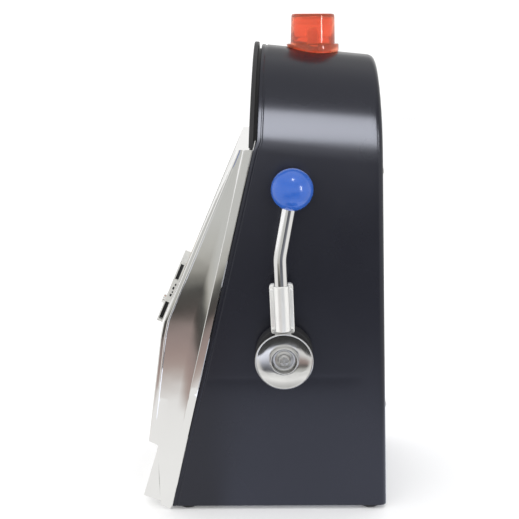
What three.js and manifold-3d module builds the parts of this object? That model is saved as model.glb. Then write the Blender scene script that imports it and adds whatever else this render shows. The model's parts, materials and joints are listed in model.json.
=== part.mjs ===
// Toy slot machine savings bank: a moulded arch-topped cabinet with a chromed sloping front, three spinning reels,
// a side lever with a ball knob, a coin head, a payout tray, a coin bin with a back door and a red beacon on top.
// Millimetres, +Z up. The front faces -Y and the lever is on the +X side. The cabinet is symmetric about its own
// plane x = 0; y = 0 is halfway between the lip of the tray and the back, and z = 0 is the table under the feet.

import * as THREE from "three";
import { mergeVertices } from "three/addons/utils/BufferGeometryUtils.js";
import Module from "manifold-3d";

const wasm = await Module();
wasm.setup();

const degrees = Math.PI / 180;

// ---------------------------------------------------------------- driving dimensions
const height = 381; // table to the top of the beacon
const gap = 0.3; // play between pieces that meet

// The cabinet: its side outline, and how it tapers towards the back.
const cabinetBottom = 3;
const basePlateBottom = 1.8;
const frontFoot = { y: -73.1, z: 2.2 }; // where the sloping front edge meets the bottom
const frontSlope = Math.tan(13.04 * degrees);
const shoulder = 286; // the sloping front ends here and the arched head begins
const backFoot = { y: 96.8, z: 3 };
const backLean = 0.0355; // the back wall comes forward by this much for each unit of height
const wall = 2.6;
const backEdgeRadius = 5;

const frontY = (z) => frontFoot.y + (z - frontFoot.z) * frontSlope;
const backY = (z) => backFoot.y - (z - backFoot.z) * backLean;
const halfWidth = (y) => 74 - (y + 5) * 0.026;
const springZ = (y) => 287.5 - (y + 1.4) * 0.0613; // where the straight sides turn into the arch
const crestZ = (y) => 358.7 - (y + 3.8) * 0.1005;

// The chromed bezel: its side outline from the top down.
const bezelHalf = 76.4;
const bezelWall = 2.2;
const bezelTop = { y: -20.7, z: 285.8 };
const bezelKnee = { y: -75.6, z: 156.9 };
const bezelChin = { y: -78.4, z: 143.8 };
const bezelLip = { y: -90.1, z: 58.2 };
const bezelNotch = { y: -83.3, z: 54.8 };
const bezelToe = { y: -82.5, z: 3.6 };

// The lever and its shaft.
const leverY = 15.4;
const leverZ = 132.45;
const leverTilt = 2.44 * degrees;
const leverOut = 4; // the pieces outside the wall stand this much further out, so that the knob clears it
const armX = 88;
const armRadius = 5.2;
const armKink = 77.5; // from the shaft to the bend
const armBend = 12.35 * degrees;
const armUpper = 50.6; // from the bend to the middle of the knob
const knobRadius = 15.2;
const hubRadius = 21.5;
const shaftRadius = 5.5;

// The reels and what stops and starts them.
const reelY = -1.5;
const reelZ = 221.1;
const reelRadius = 36;
const reelPitch = 36;
const reelWidth = 31;
const stops = 12; // symbols on a reel, and points on its star wheel
const starOuter = 14;
const starInner = 11.2;
const starOffset = 17.5; // from a reel's middle to the middle of its star wheel
const starThick = 2.6;
const plateX = 58;
const plateThick = 1.6;
const pawlY = 40;
const pawlZ = 236;

// The gear pair between the lever shaft and the kicker.
const gearTeeth = 32;
const gearModule = 1.6;
const gearLine = 63.6 * degrees; // direction from the lever shaft to the kicker
const gearSpacing = gearTeeth * gearModule;
const kickerY = leverY + gearSpacing * Math.cos(gearLine);
const kickerZ = leverZ + gearSpacing * Math.sin(gearLine);
const gearX = 62;
const gearThick = 3;

// The beacon.
const beaconY = 37;
const beaconRadius = 17.2;
const beaconFlange = 20.2;
const beaconFlangeTop = 358.4;

// ---------------------------------------------------------------- materials
function plain(color, roughness, metalness = 0, extra = {}) {
  return new THREE.MeshStandardMaterial({ color, roughness, metalness, ...extra });
}
const blackPlastic = plain("#26262b", 0.42);
const darkPlastic = plain("#1b1b1e", 0.6);
const chrome = plain("#d9d9d8", 0.12, 1);
const steel = plain("#9a9b9e", 0.35, 1);
const whitePlastic = plain("#e9e7e0", 0.4);
const reelWhite = plain("#f2efe4", 0.5);
const bluePlastic = plain("#3a62c8", 0.25);
const redClear = plain("#e8442c", 0.15, 0, { transparent: true, opacity: 0.6 });
const clear = plain("#e6eef0", 0.08, 0, { transparent: true, opacity: 0.35 });
const rubber = plain("#161618", 0.85);
const board = plain("#1f6a3a", 0.5);
const card = plain("#b3262c", 0.55);
const brass = plain("#c9a24e", 0.35, 1);
const cell = plain("#3b3f46", 0.35, 0.4);

// ---------------------------------------------------------------- solids
// A geometry as a manifold-3d solid, with its faces pointing out.
function solid(geometry) {
  const source = geometry.index ? geometry.toNonIndexed() : geometry;
  const bare = new THREE.BufferGeometry();
  bare.setAttribute("position", source.getAttribute("position"));
  const merged = mergeVertices(bare, 1e-4);
  const index = merged.index.array;
  const make = (flip) => {
    const kept = [];
    for (let i = 0; i < index.length; i += 3) {
      const [a, b, c] = [index[i], index[i + 1], index[i + 2]];
      if (a === b || b === c || c === a) continue;
      kept.push(...(flip ? [a, c, b] : [a, b, c]));
    }
    return new wasm.Manifold(
      new wasm.Mesh({
        numProp: 3,
        vertProperties: merged.attributes.position.array,
        triVerts: new Uint32Array(kept),
      }),
    );
  };
  const made = make(false);
  return made.volume() < 0 ? make(true) : made;
}

function geometryOf(made) {
  const mesh = made.getMesh();
  const geometry = new THREE.BufferGeometry();
  geometry.setAttribute("position", new THREE.BufferAttribute(mesh.vertProperties, 3));
  geometry.setIndex(new THREE.BufferAttribute(mesh.triVerts, 1));
  return geometry;
}

const join = (...pieces) => geometryOf(pieces.map(solid).reduce((a, b) => a.add(b)));
const cut = (base, ...tools) => geometryOf(tools.map(solid).reduce((a, b) => a.subtract(b), solid(base)));
const common = (a, b) => geometryOf(solid(a).intersect(solid(b)));

function box(x0, x1, y0, y1, z0, z1) {
  const made = new THREE.BoxGeometry(x1 - x0, y1 - y0, z1 - z0);
  return made.translate((x0 + x1) / 2, (y0 + y1) / 2, (z0 + z1) / 2);
}

function outline(points) {
  return new THREE.Shape(points.map(([a, b]) => new THREE.Vector2(a, b)));
}

const flatExtrude = (shape, depth) => new THREE.ExtrudeGeometry(shape, { depth, bevelEnabled: false });
const axis = { x: new THREE.Vector3(1, 0, 0), y: new THREE.Vector3(0, 1, 0), z: new THREE.Vector3(0, 0, 1) };

// An outline of [y, z] points carried along X from x0 to x1.
function prismX(points, x0, x1) {
  const turn = new THREE.Matrix4().makeBasis(axis.y, axis.z, axis.x);
  return flatExtrude(outline(points), x1 - x0).applyMatrix4(turn).translate(x0, 0, 0);
}

// An outline of [x, z] points carried along Y from y0 to y1.
function prismY(points, y0, y1) {
  const turn = new THREE.Matrix4().makeBasis(axis.x, axis.z, axis.y.clone().negate());
  return flatExtrude(outline(points), y1 - y0).applyMatrix4(turn).translate(0, y1, 0);
}

// An outline of [x, y] points carried along Z from z0 to z1.
function prismZ(points, z0, z1) {
  return flatExtrude(outline(points), z1 - z0).translate(0, 0, z0);
}

// A round bar along X, Y or Z. The two places are on the axis's other two directions, in X, Y, Z order.
function bar(along, radius, from, to, a, b, segments = 24) {
  const made = new THREE.CylinderGeometry(radius, radius, to - from, segments);
  const middle = (from + to) / 2;
  if (along === "x") return made.rotateZ(-Math.PI / 2).translate(middle, a, b);
  if (along === "y") return made.translate(a, middle, b);
  return made.rotateX(Math.PI / 2).translate(a, b, middle);
}

// A profile of [radius, place along the axis] points turned about a line along X or Z. A profile that stays off the
// axis is closed on itself and makes a ring.
function turned(along, profile, a = 0, b = 0, segments = 32) {
  const ring = profile[0][0] > 0 ? [...profile, profile[0]] : profile;
  const points = ring.map(([r, place]) => new THREE.Vector2(r, place));
  const made = new THREE.LatheGeometry(points, segments);
  if (along === "x") return made.rotateZ(-Math.PI / 2).translate(0, a, b);
  return made.rotateX(Math.PI / 2).translate(a, b, 0);
}

// A rectangle with rounded corners, as [a, b] points round its middle.
function roundedRectangle(width, tall, radius, steps = 4) {
  const corners = [
    [1, 1, 0],
    [-1, 1, 90],
    [-1, -1, 180],
    [1, -1, 270],
  ];
  return corners.flatMap(([sx, sy, start]) =>
    Array.from({ length: steps + 1 }, (_, k) => {
      const t = (start + (90 * k) / steps) * degrees;
      const centre = [sx * (width / 2 - radius), sy * (tall / 2 - radius)];
      return [centre[0] + radius * Math.cos(t), centre[1] + radius * Math.sin(t)];
    }),
  );
}

const shifted = (points, a, b) => points.map(([p, q]) => [p + a, q + b]);

// ---------------------------------------------------------------- the assembly's frames
const bank = new THREE.Group();

function frame(x, y, z, tilt = 0, parent = bank) {
  const made = new THREE.Group();
  made.position.set(x, y, z);
  made.rotation.x = tilt;
  parent.add(made);
  made.updateMatrix();
  return made;
}

// Faces of the machine, each with its surface at y = 0, y pointing inwards (outwards on the back) and z up the face.
const facetTilt = -Math.atan2(bezelTop.y - bezelKnee.y, bezelTop.z - bezelKnee.z);
const facet = frame(0, bezelTop.y, bezelTop.z, facetTilt);
const bellyTilt = -Math.atan2(bezelChin.y - bezelLip.y, bezelChin.z - bezelLip.z);
const belly = frame(0, bezelChin.y, bezelChin.z, bellyTilt);
const headLean = 0.04;
const head = frame(0, -10.65, 286.8, -Math.atan(headLean));
const back = frame(0, backY(0), 0, Math.atan(backLean));
const lever = frame(leverOut, leverY, leverZ, leverTilt);

const within = (geometry, group) => geometry.clone().applyMatrix4(group.matrix);

function place(name, geometry, material, group = bank) {
  const mesh = new THREE.Mesh(geometryOf(solid(geometry)), material);
  mesh.name = name;
  group.add(mesh);
  return mesh;
}

// ---------------------------------------------------------------- cabinet
// The arch-topped outline at depth y, taken in by inset: flat bottom, straight sides, half an ellipse on top.
function archOutline(y, inset, bottom, steps = 18) {
  const half = halfWidth(y) - inset;
  const spring = springZ(y);
  const rise = crestZ(y) - inset - spring;
  const arch = Array.from({ length: steps + 1 }, (_, k) => {
    const t = (Math.PI * k) / steps;
    return [half * Math.cos(t), spring + rise * Math.sin(t)];
  });
  return [[-half, bottom], [half, bottom], ...arch];
}

// A closed body through outlines that stand one behind the other. A station is {y, inset, behind}: where behind is
// given, the outline lies that far in front of the leaning back wall instead of at y.
function archBody(stations, bottom) {
  const rings = stations.map(({ y, inset, behind }) =>
    archOutline(y, inset, bottom + Math.max(0, inset === stations[0].inset ? 0 : inset - stations[0].inset)).map(
      ([x, z]) => [x, behind === undefined ? y : backY(z) - behind, z],
    ),
  );
  const points = rings[0].length;
  const index = [];
  for (let s = 0; s + 1 < rings.length; s++) {
    for (let i = 0; i < points; i++) {
      const [a, b] = [s * points + i, s * points + ((i + 1) % points)];
      index.push(a, b, a + points, b, b + points, a + points);
    }
  }
  const last = (rings.length - 1) * points;
  for (let i = 1; i + 1 < points; i++) {
    index.push(0, i + 1, i, last, last + i, last + i + 1);
  }
  const geometry = new THREE.BufferGeometry();
  geometry.setAttribute("position", new THREE.BufferAttribute(new Float32Array(rings.flat(2)), 3));
  return geometry.setIndex(index);
}

// Stations from well in front of the machine to the rounded edge of its back wall.
function cabinetStations(inset) {
  const straight = [-90, 0, 40].map((y) => ({ y, inset }));
  const radius = Math.max(backEdgeRadius - inset, 2);
  const rounded = [0, 30, 60, 90].map((t) => ({
    y: 85,
    inset: inset + radius * (1 - Math.cos(t * degrees)),
    behind: Math.max(inset, 0) + radius * (1 - Math.sin(t * degrees)),
  }));
  return [...straight, ...rounded];
}

const cabinetOuter = archBody(cabinetStations(0), cabinetBottom);
const cabinetInner = archBody(cabinetStations(wall), -10);
const roofAbove = archBody(cabinetStations(-gap), cabinetBottom);

const archFrontY = -5; // front edge of the arched head, at the shoulder
const inFrontOfCabinet = prismX(
  [
    [-200, -20],
    [frontY(-20), -20],
    [frontY(shoulder), shoulder],
    [archFrontY, shoulder],
    [archFrontY + 114 * headLean, 400],
    [-200, 400],
  ],
  -120,
  120,
);

// Openings in the back wall, in the frame of the back.
const coinDoor = { half: 38, bottom: 17, top: 60 };
const batteryDoor = { half: 33, bottom: 184, top: 241 };
const doorPin = 0.8;
const doorPinUp = 2; // from the bottom of the opening to the middle of the pins
const switchSlot = { x: 46, z: 128, half: 6, tall: 2.6 };
const speakerPlace = { x: -40, z: 133, radius: 17 };
const screwPlaces = [
  [-60, 84],
  [60, 84],
  [-58, 268],
  [58, 268],
];

function backShell() {
  const through = (x0, x1, z0, z1) => within(box(x0, x1, -12, 12, z0, z1), back);
  const slots = [-2, -1, 0, 1, 2].map((k) => {
    const half = Math.sqrt(speakerPlace.radius ** 2 - (6 * k) ** 2) - 1.5;
    const z = speakerPlace.z + 6 * k;
    return through(speakerPlace.x - half, speakerPlace.x + half, z - 1.1, z + 1.1);
  });
  const pinHoles = [coinDoor, batteryDoor].map(({ half, bottom }) =>
    within(bar("x", doorPin + 0.3, -half - 2, half + 2, -wall / 2, bottom + doorPinUp, 10), back),
  );
  const screwHoles = screwPlaces.map(([x, z]) => within(bar("y", 2, -12, 12, x, z, 12), back));
  return cut(
    cabinetOuter,
    cabinetInner,
    inFrontOfCabinet,
    bar("x", 8.3, 60, 90, leverY, leverZ),
    bar("z", 15.2, 320, 400, 0, beaconY, 28),
    through(-coinDoor.half, coinDoor.half, coinDoor.bottom, coinDoor.top),
    through(-batteryDoor.half, batteryDoor.half, batteryDoor.bottom, batteryDoor.top),
    through(switchSlot.x - switchSlot.half, switchSlot.x + switchSlot.half,
      switchSlot.z - switchSlot.tall, switchSlot.z + switchSlot.tall),
    ...slots,
    ...pinHoles,
    ...screwHoles,
  );
}
place("back_shell", backShell(), blackPlastic);

// The base plate fills the open bottom of the shell, and the rubber feet plug into it.
const footPlaces = [
  [-66.3, -60.8],
  [66.3, -60.8],
  [-63.4, 83.8],
  [63.4, 83.8],
];
const basePlateTop = 4.6;
const baseFront = frontY(cabinetBottom) + 1.2;
const baseBack = backY(cabinetBottom) - wall - gap - 0.4;
const baseHalf = (y) => halfWidth(y) - wall - gap;
const footSeats = footPlaces.flatMap(([x, y]) => [bar("z", 2.6, 0, 9, x, y, 16), bar("z", 7.6, 0, 3, x, y, 18)]);
place(
  "base_plate",
  cut(
    prismZ(
      [
        [-baseHalf(baseFront), baseFront],
        [baseHalf(baseFront), baseFront],
        [baseHalf(baseBack) - 1, baseBack],
        [-baseHalf(baseBack) + 1, baseBack],
      ],
      basePlateBottom,
      basePlateTop,
    ),
    ...footSeats,
  ),
  darkPlastic,
);

const footProfile = [[0, 0], [6.2, 0], [7.2, 0.9], [7.2, 2.7], [2.3, 2.7], [2.3, 5], [3.2, 5], [2.2, 7], [0, 7]];
["front_left", "front_right", "back_left", "back_right"].forEach((where, i) => {
  place(`foot_${where}`, turned("z", footProfile, ...footPlaces[i], 14), rubber);
});

const caseScrewProfile = [[0, 1.5], [1.6, 1.3], [3.1, 0.3], [1.6, 0.3], [1.6, -11], [0, -12]];
["lower_left", "lower_right", "upper_left", "upper_right"].forEach((where, i) => {
  const [x, z] = screwPlaces[i];
  const screw = turned("z", caseScrewProfile, 0, 0, 14).rotateX(-Math.PI / 2).translate(x, 0, z);
  place(`case_screw_${where}`, screw, steel, back);
});

// ---------------------------------------------------------------- arched head: frame, board and lens
// The arch's outline in the frame of the head, taken in by inset; z is 0 at its flat bottom edge.
function headOutline(inset, steps = 28) {
  const half = 75 - inset;
  const rise = 73.6 - inset;
  const start = Math.asin(inset / rise);
  return Array.from({ length: steps + 1 }, (_, k) => {
    const t = start + ((Math.PI - 2 * start) * k) / steps;
    return [half * Math.cos(t), rise * Math.sin(t)];
  });
}
const headDepth = 3.5;
place(
  "arch_frame",
  cut(
    join(prismY(headOutline(0), 0, headDepth), prismY(headOutline(5), 1, 7)),
    prismY(headOutline(8), -1, 1.2),
    prismY(headOutline(6.6), 1.1, 12),
  ),
  blackPlastic,
  head,
);
place("marquee_lens", prismY(headOutline(6.9), 1.5, 3), clear, head);
place("marquee_board", prismY(headOutline(6.9), 3.4, 5), card, head);

// ---------------------------------------------------------------- chromed front bezel
const windowTop = -24;
const windowBottom = -80;
const windowHalf = 55;
const cardRecess = { x0: -62, x1: 8, z0: -134, z1: -92, deep: 1.2 };
const coinHead = { x0: 15, x1: 50, z0: -150.5, z1: -98.5, proud: 5.2 };
const coinSlot = { x: 32.5, half: 1.7, z0: -131, z1: -104 };
const bellyOpening = { half: 58, z0: -74, z1: -12 };
const mouth = { half: 53, z0: 8.5, z1: 52.5 };

function frontBezel() {
  const seam = (z) => [frontY(z) - gap, z];
  const outer = prismX(
    [
      [bezelTop.y, bezelTop.z],
      [bezelKnee.y, bezelKnee.z],
      [bezelChin.y, bezelChin.z],
      [bezelLip.y, bezelLip.z],
      [bezelNotch.y, bezelNotch.z],
      [bezelToe.y, bezelToe.z],
      [-74.9, 0.4],
      seam(0.4),
      seam(bezelTop.z),
    ].reverse(),
    -bezelHalf,
    bezelHalf,
  );
  const inner = prismX(
    [
      [bezelTop.y + 1.5, bezelTop.z - bezelWall],
      [bezelKnee.y + 2.4, bezelKnee.z - 0.5],
      [bezelChin.y + 2.3, bezelChin.z - 0.5],
      [bezelLip.y + 2.6, bezelLip.z + 2.1],
      [bezelNotch.y + 2.3, bezelNotch.z + 1.3],
      [bezelToe.y + 2.2, bezelToe.z + 1],
      [-40, 2.6],
      [40, 200],
      [40, bezelTop.z - bezelWall],
    ].reverse(),
    -bezelHalf + bezelWall,
    bezelHalf - bezelWall,
  );
  return cut(
    outer,
    inner,
    within(box(-windowHalf, windowHalf, -5, 9, windowBottom, windowTop), facet),
    within(box(cardRecess.x0, cardRecess.x1, -5, cardRecess.deep, cardRecess.z0, cardRecess.z1), facet),
    within(box(coinSlot.x - 4, coinSlot.x + 4, -5, 9, coinSlot.z0 - 2, coinSlot.z1 + 2), facet),
    within(box(-bellyOpening.half, bellyOpening.half, -5, 9, bellyOpening.z0, bellyOpening.z1), belly),
    box(-mouth.half, mouth.half, -95, -70, mouth.z0, mouth.z1),
  );
}
place("front_bezel", frontBezel(), chrome);

place("reel_lens", box(-60, 60, 2.7, 4.2, -84, -20), clear, facet);
const maskHoles = [-1, 0, 1].map((k) => {
  const hole = roundedRectangle(29.5, 47, 3, 3);
  return prismY(shifted(hole, k * reelPitch, (windowTop + windowBottom) / 2), 3, 8);
});
place("reel_mask", cut(box(-60, 60, 4.6, 5.6, -84, -20), ...maskHoles), darkPlastic, facet);
place(
  "pay_card",
  box(cardRecess.x0 + 0.4, cardRecess.x1 - 0.4, 0.1, 0.9, cardRecess.z0 + 0.4, cardRecess.z1 - 0.4),
  card,
  facet,
);
place(
  "belly_panel",
  box(-62, 62, bezelWall + 0.5, bezelWall + 2, bellyOpening.z0 - 4, bellyOpening.z1 + 4),
  card,
  belly,
);

// ---------------------------------------------------------------- coin head with its return button
const returnButton = { x: 22, z: -141, radius: 3.6 };
place(
  "coin_head",
  cut(
    box(coinHead.x0, coinHead.x1, -coinHead.proud, -gap, coinHead.z0, coinHead.z1),
    box(coinSlot.x - coinSlot.half, coinSlot.x + coinSlot.half, -9, 5, coinSlot.z0, coinSlot.z1),
    box(44, 60, -4.1, -1.5, -114, -101),
    box(29, 60, -4.2, -1.2, -148.6, -133.5),
    bar("y", returnButton.radius + gap, -9, 5, returnButton.x, returnButton.z, 20),
  ),
  chrome,
  facet,
);
place(
  "return_button",
  bar("y", returnButton.radius, -coinHead.proud - 2.2, -0.6 - 2.2, returnButton.x, returnButton.z, 20),
  chrome,
  facet,
);

// ---------------------------------------------------------------- payout tray, gate, chute and coin bin
const trayHalf = 70;
const trayLip = 16;
place(
  "payout_tray",
  cut(
    join(
      prismX([[-83.7, 51.5], [-83.7, 4.3], [-96.4, 9.4], [-94.2, trayLip], [-89.7, 30.5]], -trayHalf, trayHalf),
      box(-52.5, 52.5, -84, -58, 9, 52),
    ),
    prismX([[-85, 7.6], [-85, 70], [-120, 70], [-120, trayLip], [-92, trayLip], [-93.4, 11]],
      -trayHalf + 2.4, trayHalf - 2.4),
    box(-50.5, 50.5, -90, -40, 11.4, 49.6),
  ),
  chrome,
);

const binHalf = 60;
const gateY = -53.5;
const gateTop = 46.5;
place(
  "coin_bin",
  cut(
    join(
      prismX([[-49, 8.2], [backY(8) - 4.4, 8.2], [backY(70) - 4.4, 70], [-49, 70]], -binHalf, binHalf),
      box(-35, -31.2, -57, -48, 42, 51),
      box(31.2, 35, -57, -48, 42, 51),
    ),
    bar("x", 2.15, -40, 40, gateY, gateTop, 12),
    prismX([[-47.2, 10], [200, 10], [200, 90], [-47.2, 90]], -binHalf + 1.8, binHalf - 1.8),
    box(-28, 28, -60, -40, 12, 44),
  ),
  whitePlastic,
);
place(
  "payout_gate",
  join(
    box(-30, 30, gateY - 0.8, gateY + 0.8, 11.5, gateTop),
    bar("x", 1.8, -33, 33, gateY, gateTop, 12),
  ),
  whitePlastic,
);

// A flat channel that guides a coin on edge from the slot down to the bin.
const chuteOuter = [[-14, 84], [-14, 118], [-30, 166], [-57.5, 191], [-71, 160.5], [-48, 118], [-44, 84]];
const chuteInner = [[-15.8, 70], [-15.8, 117.5], [-31.3, 164.6], [-50, 240], [-120, 160], [-46.3, 118.4], [-42.2, 70]];
place(
  "coin_chute",
  cut(prismX(chuteOuter, 28.8, 36.2), prismX(chuteInner, 30.6, 34.4)),
  whitePlastic,
);

// ---------------------------------------------------------------- back doors, power switch, speaker
// Each door turns on two pins near its bottom edge, half way through the wall, and has a finger tab at its top.
function backDoor({ half, bottom, top }) {
  return join(
    box(-half + gap, half - gap, -wall, 0, bottom + 0.8, top - gap),
    box(-7, 7, -1, 1.6, top - 5, top - 2.6),
    bar("x", doorPin, -half - 1.6, half + 1.6, -wall / 2, bottom + doorPinUp, 10),
  );
}
place("coin_door", backDoor(coinDoor), blackPlastic, back);
place("battery_door", backDoor(batteryDoor), blackPlastic, back);
place(
  "power_switch",
  join(
    box(switchSlot.x - 5.6, switchSlot.x - 1.6, -3.4, 1.6, switchSlot.z - 2.2, switchSlot.z + 2.2),
    box(switchSlot.x - 8, switchSlot.x + 0.8, -4.8, -wall - gap, switchSlot.z - 3.4, switchSlot.z + 3.4),
  ),
  whitePlastic,
  back,
);
const speakerProfile = [[0, -3.2], [11, -3.2], [16.5, -3.2], [16.5, -5.2], [12, -6.8], [9, -11], [0, -11]];
place(
  "speaker",
  turned("z", speakerProfile, 0, 0, 24).rotateX(-Math.PI / 2).translate(speakerPlace.x, 0, speakerPlace.z),
  darkPlastic,
  back,
);

// ---------------------------------------------------------------- batteries
const cellRadius = 7.1;
const cellLength = 50;
const cellPlaces = [0, 1, 2].map((k) => 196 + 16.2 * k);
place(
  "battery_tray",
  cut(
    box(-31.5, 31.5, -21, -wall - 0.8, 185.5, 239.5),
    ...cellPlaces.map((z) => box(-29.8, 29.8, -19.4, 5, z - 7.6, z + 7.6)),
  ),
  darkPlastic,
  back,
);
cellPlaces.forEach((z, k) => {
  const profile = [[0, -cellLength / 2], [cellRadius, -cellLength / 2], [cellRadius, cellLength / 2 - 1.5],
    [2.8, cellLength / 2 - 1.5], [2.8, cellLength / 2], [0, cellLength / 2]];
  const made = turned("x", profile, -11.6, z, 20);
  place(`battery_${k + 1}`, k % 2 ? made.rotateY(Math.PI).translate(0, 0, 2 * z) : made, cell, back);
});

// ---------------------------------------------------------------- beacon
const beaconShell = turned(
  "z",
  [[0, height], [15.6, height], [16.6, height - 0.9], [beaconRadius, beaconFlangeTop + 0.6],
    [beaconFlange, beaconFlangeTop], [beaconFlange, 348], [15.2, 348], [15.2, 376], [14.4, height - 1.8],
    [0, height - 1.8]],
  0,
  beaconY,
  28,
);
const beaconNeck = cut(bar("z", 14.9, 346, 361, 0, beaconY, 28), bar("z", 13.2, 330, 370, 0, beaconY, 28));
const beaconTop = cut(beaconShell, roofAbove);
const neckRing = cut(bar("z", 15.4, 359, 361, 0, beaconY, 28), bar("z", 13.2, 330, 370, 0, beaconY, 28));
place("beacon_lens", join(beaconTop, beaconNeck, neckRing), redClear);
place("beacon_board", bar("z", 12, 344, 345.6, 0, beaconY, 24), board);
place(
  "beacon_lamp",
  turned("z", [[0, 345.9], [6, 345.9], [6, 349], [4.2, 350], [4.2, 366], [3.6, 369], [2, 371], [0, 371.6]], 0, beaconY, 20),
  whitePlastic,
);

// ---------------------------------------------------------------- lever
const wallX = halfWidth(leverY);
place(
  "lever_boss",
  turned("x", [[8.1, wallX + 0.9], [21.6, wallX + 0.9], [21.6, 82.6], [20.4, 84], [8.1, 84]], leverY, leverZ, 32),
  darkPlastic,
);
place(
  "shaft_bush",
  turned("x", [[5.8, 66], [11, 66], [11, wallX - wall - gap], [7.8, wallX - wall - gap], [7.8, 83], [5.8, 83]],
    leverY, leverZ, 24),
  brass,
);

const tongue = box(82.4, 87.2, -6, 6, 12, 24);
const hubBody = turned(
  "x",
  [[5.8, 81], [15.5, 81], [16, 82], [16, 88.6], [hubRadius, 93], [hubRadius, 94.2], [20.4, 94.2], [15, 90.6],
    [10.4, 89.6], [10.4, 94], [8, 94], [8, 89.4], [2.2, 89.4], [2.2, 88.2], [5.8, 88.2]],
  0,
  0,
  28,
);
place("lever_hub", cut(hubBody, box(82.1, 87.5, -6.3, 6.3, 11.7, 30)), chrome, lever);

const socketPlate = prismX(shifted(roundedRectangle(17.4, 38, 2.2), 0, 38.6), 82.6, 87.4);
place(
  "lever_socket",
  cut(
    join(
      socketPlate,
      tongue,
      bar("z", armRadius + 1, 22.6, 57, armX, 0, 20),
      ...[[-7, 24], [7, 24], [-7, 53.5], [7, 53.5]].map(([y, z]) => bar("x", 1.1, 87, 88.1, y, z, 8)),
    ),
    bar("z", armRadius + gap, 26, 70, armX, 0, 20),
  ),
  chrome,
  lever,
);

const knobY = armUpper * Math.sin(armBend);
const knobZ = armKink + armUpper * Math.cos(armBend);
const armLine = new THREE.CatmullRomCurve3(
  [
    [0, 26.5],
    [0, 50],
    [0, 68],
    [0, armKink - 4],
    [0.6, armKink + 0.6],
    [4 * Math.sin(armBend) + 0.25, armKink + 4],
    [18 * Math.sin(armBend), armKink + 18 * Math.cos(armBend)],
    [(armUpper - 6) * Math.sin(armBend), armKink + (armUpper - 6) * Math.cos(armBend)],
  ].map(([y, z]) => new THREE.Vector3(armX, y, z)),
  false,
  "chordal",
);
const armSection = outline(
  Array.from({ length: 14 }, (_, k) => [armRadius, (2 * Math.PI * k) / 14]).map(([r, t]) => [
    r * Math.cos(t),
    r * Math.sin(t),
  ]),
);
place("lever_arm", new THREE.ExtrudeGeometry(armSection, { extrudePath: armLine, steps: 22 }), chrome, lever);
const knobBore = bar("z", armRadius + gap, -20, -5, 0, 0, 20);
place(
  "lever_knob",
  cut(new THREE.SphereGeometry(knobRadius, 22, 14).rotateX(Math.PI / 2), knobBore)
    .rotateX(-armBend)
    .translate(armX, knobY, knobZ),
  bluePlastic,
  lever,
);
place("hub_washer", cut(bar("x", 6.8, 89.7, 90.5, 0, 0, 24), bar("x", 2.2, 88, 92, 0, 0, 24)), steel, lever);
const screwCross = [box(92.2, 96, -3.1, 3.1, -0.6, 0.6), box(92.2, 96, -0.6, 0.6, -3.1, 3.1)];
place(
  "hub_screw",
  cut(turned("x", [[0, 80], [1.9, 80.5], [1.9, 90.8], [5, 90.8], [5, 92], [3.6, 93.4], [0, 93.8]], 0, 0, 20), ...screwCross),
  steel,
  lever,
);
place(
  "lever_shaft",
  cut(bar("x", shaftRadius, 42, 91.9, leverY, leverZ, 24), bar("x", 2.2, 83, 99, leverY, leverZ, 16)),
  steel,
);

// ---------------------------------------------------------------- gear pair
// A toothed sector as [a, b] points round its own middle: involute flanks from the root circle to the tip circle.
function toothedSector(first, count, phase) {
  const pitch = (gearTeeth * gearModule) / 2;
  const base = pitch * Math.cos(20 * degrees);
  const root = pitch - 1.2 * gearModule;
  const tip = pitch + 0.9 * gearModule;
  const backlash = 0.005;
  const involute = (r) => {
    const a = Math.acos(Math.min(1, base / r));
    return Math.tan(a) - a;
  };
  const halfAngle = (r) => Math.PI / (2 * gearTeeth) - backlash + involute(pitch) - involute(Math.max(r, base));
  const radii = [root, base, (base + tip) / 2, tip];
  const points = [];
  for (let k = first; k < first + count; k++) {
    const middle = phase + (2 * Math.PI * k) / gearTeeth;
    radii.forEach((r) => points.push([r, middle - halfAngle(r)]));
    [...radii].reverse().forEach((r) => points.push([r, middle + halfAngle(r)]));
  }
  const last = points[points.length - 1][1];
  const start = points[0][1];
  points.push([9, last], [9, start]);
  return points.map(([r, t]) => [r * Math.cos(t), r * Math.sin(t)]);
}

const leverTeeth = toothedSector(-8, 11, gearLine);
place(
  "drive_sector",
  cut(
    join(
      prismX(shifted(leverTeeth, leverY, leverZ), gearX, gearX + gearThick),
      bar("x", 11.5, gearX, gearX + gearThick, leverY, leverZ, 28),
    ),
    bar("x", shaftRadius + gap, 50, 70, leverY, leverZ, 24),
  ),
  steel,
);

const fingerLength = Math.hypot(kickerY - reelY, kickerZ - reelZ) - starOuter - 0.5;
const fingerStart = 165 * degrees;
const kickerTeeth = toothedSector(-3, 11, gearLine + Math.PI + Math.PI / gearTeeth);
function kickerFinger(x) {
  const direction = [Math.cos(fingerStart), Math.sin(fingerStart)];
  const side = [-direction[1], direction[0]];
  const corner = (along, across) => [
    kickerY + along * direction[0] + across * side[0],
    kickerZ + along * direction[1] + across * side[1],
  ];
  return prismX([corner(0, -4), corner(fingerLength, -1.2), corner(fingerLength, 1.2), corner(0, 4)], x - 1, x + 1);
}
const starXs = [-1, 0, 1].map((k) => k * reelPitch + starOffset);
place(
  "kicker",
  join(
    bar("x", 5, -57, gearX + gearThick, kickerY, kickerZ, 16),
    bar("x", 2.5, -60.6, -56, kickerY, kickerZ, 16),
    prismX(shifted(kickerTeeth, kickerY, kickerZ), gearX, gearX + gearThick),
    bar("x", 11.5, gearX, gearX + gearThick, kickerY, kickerZ, 24),
    ...starXs.map(kickerFinger),
  ),
  whitePlastic,
);

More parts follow.
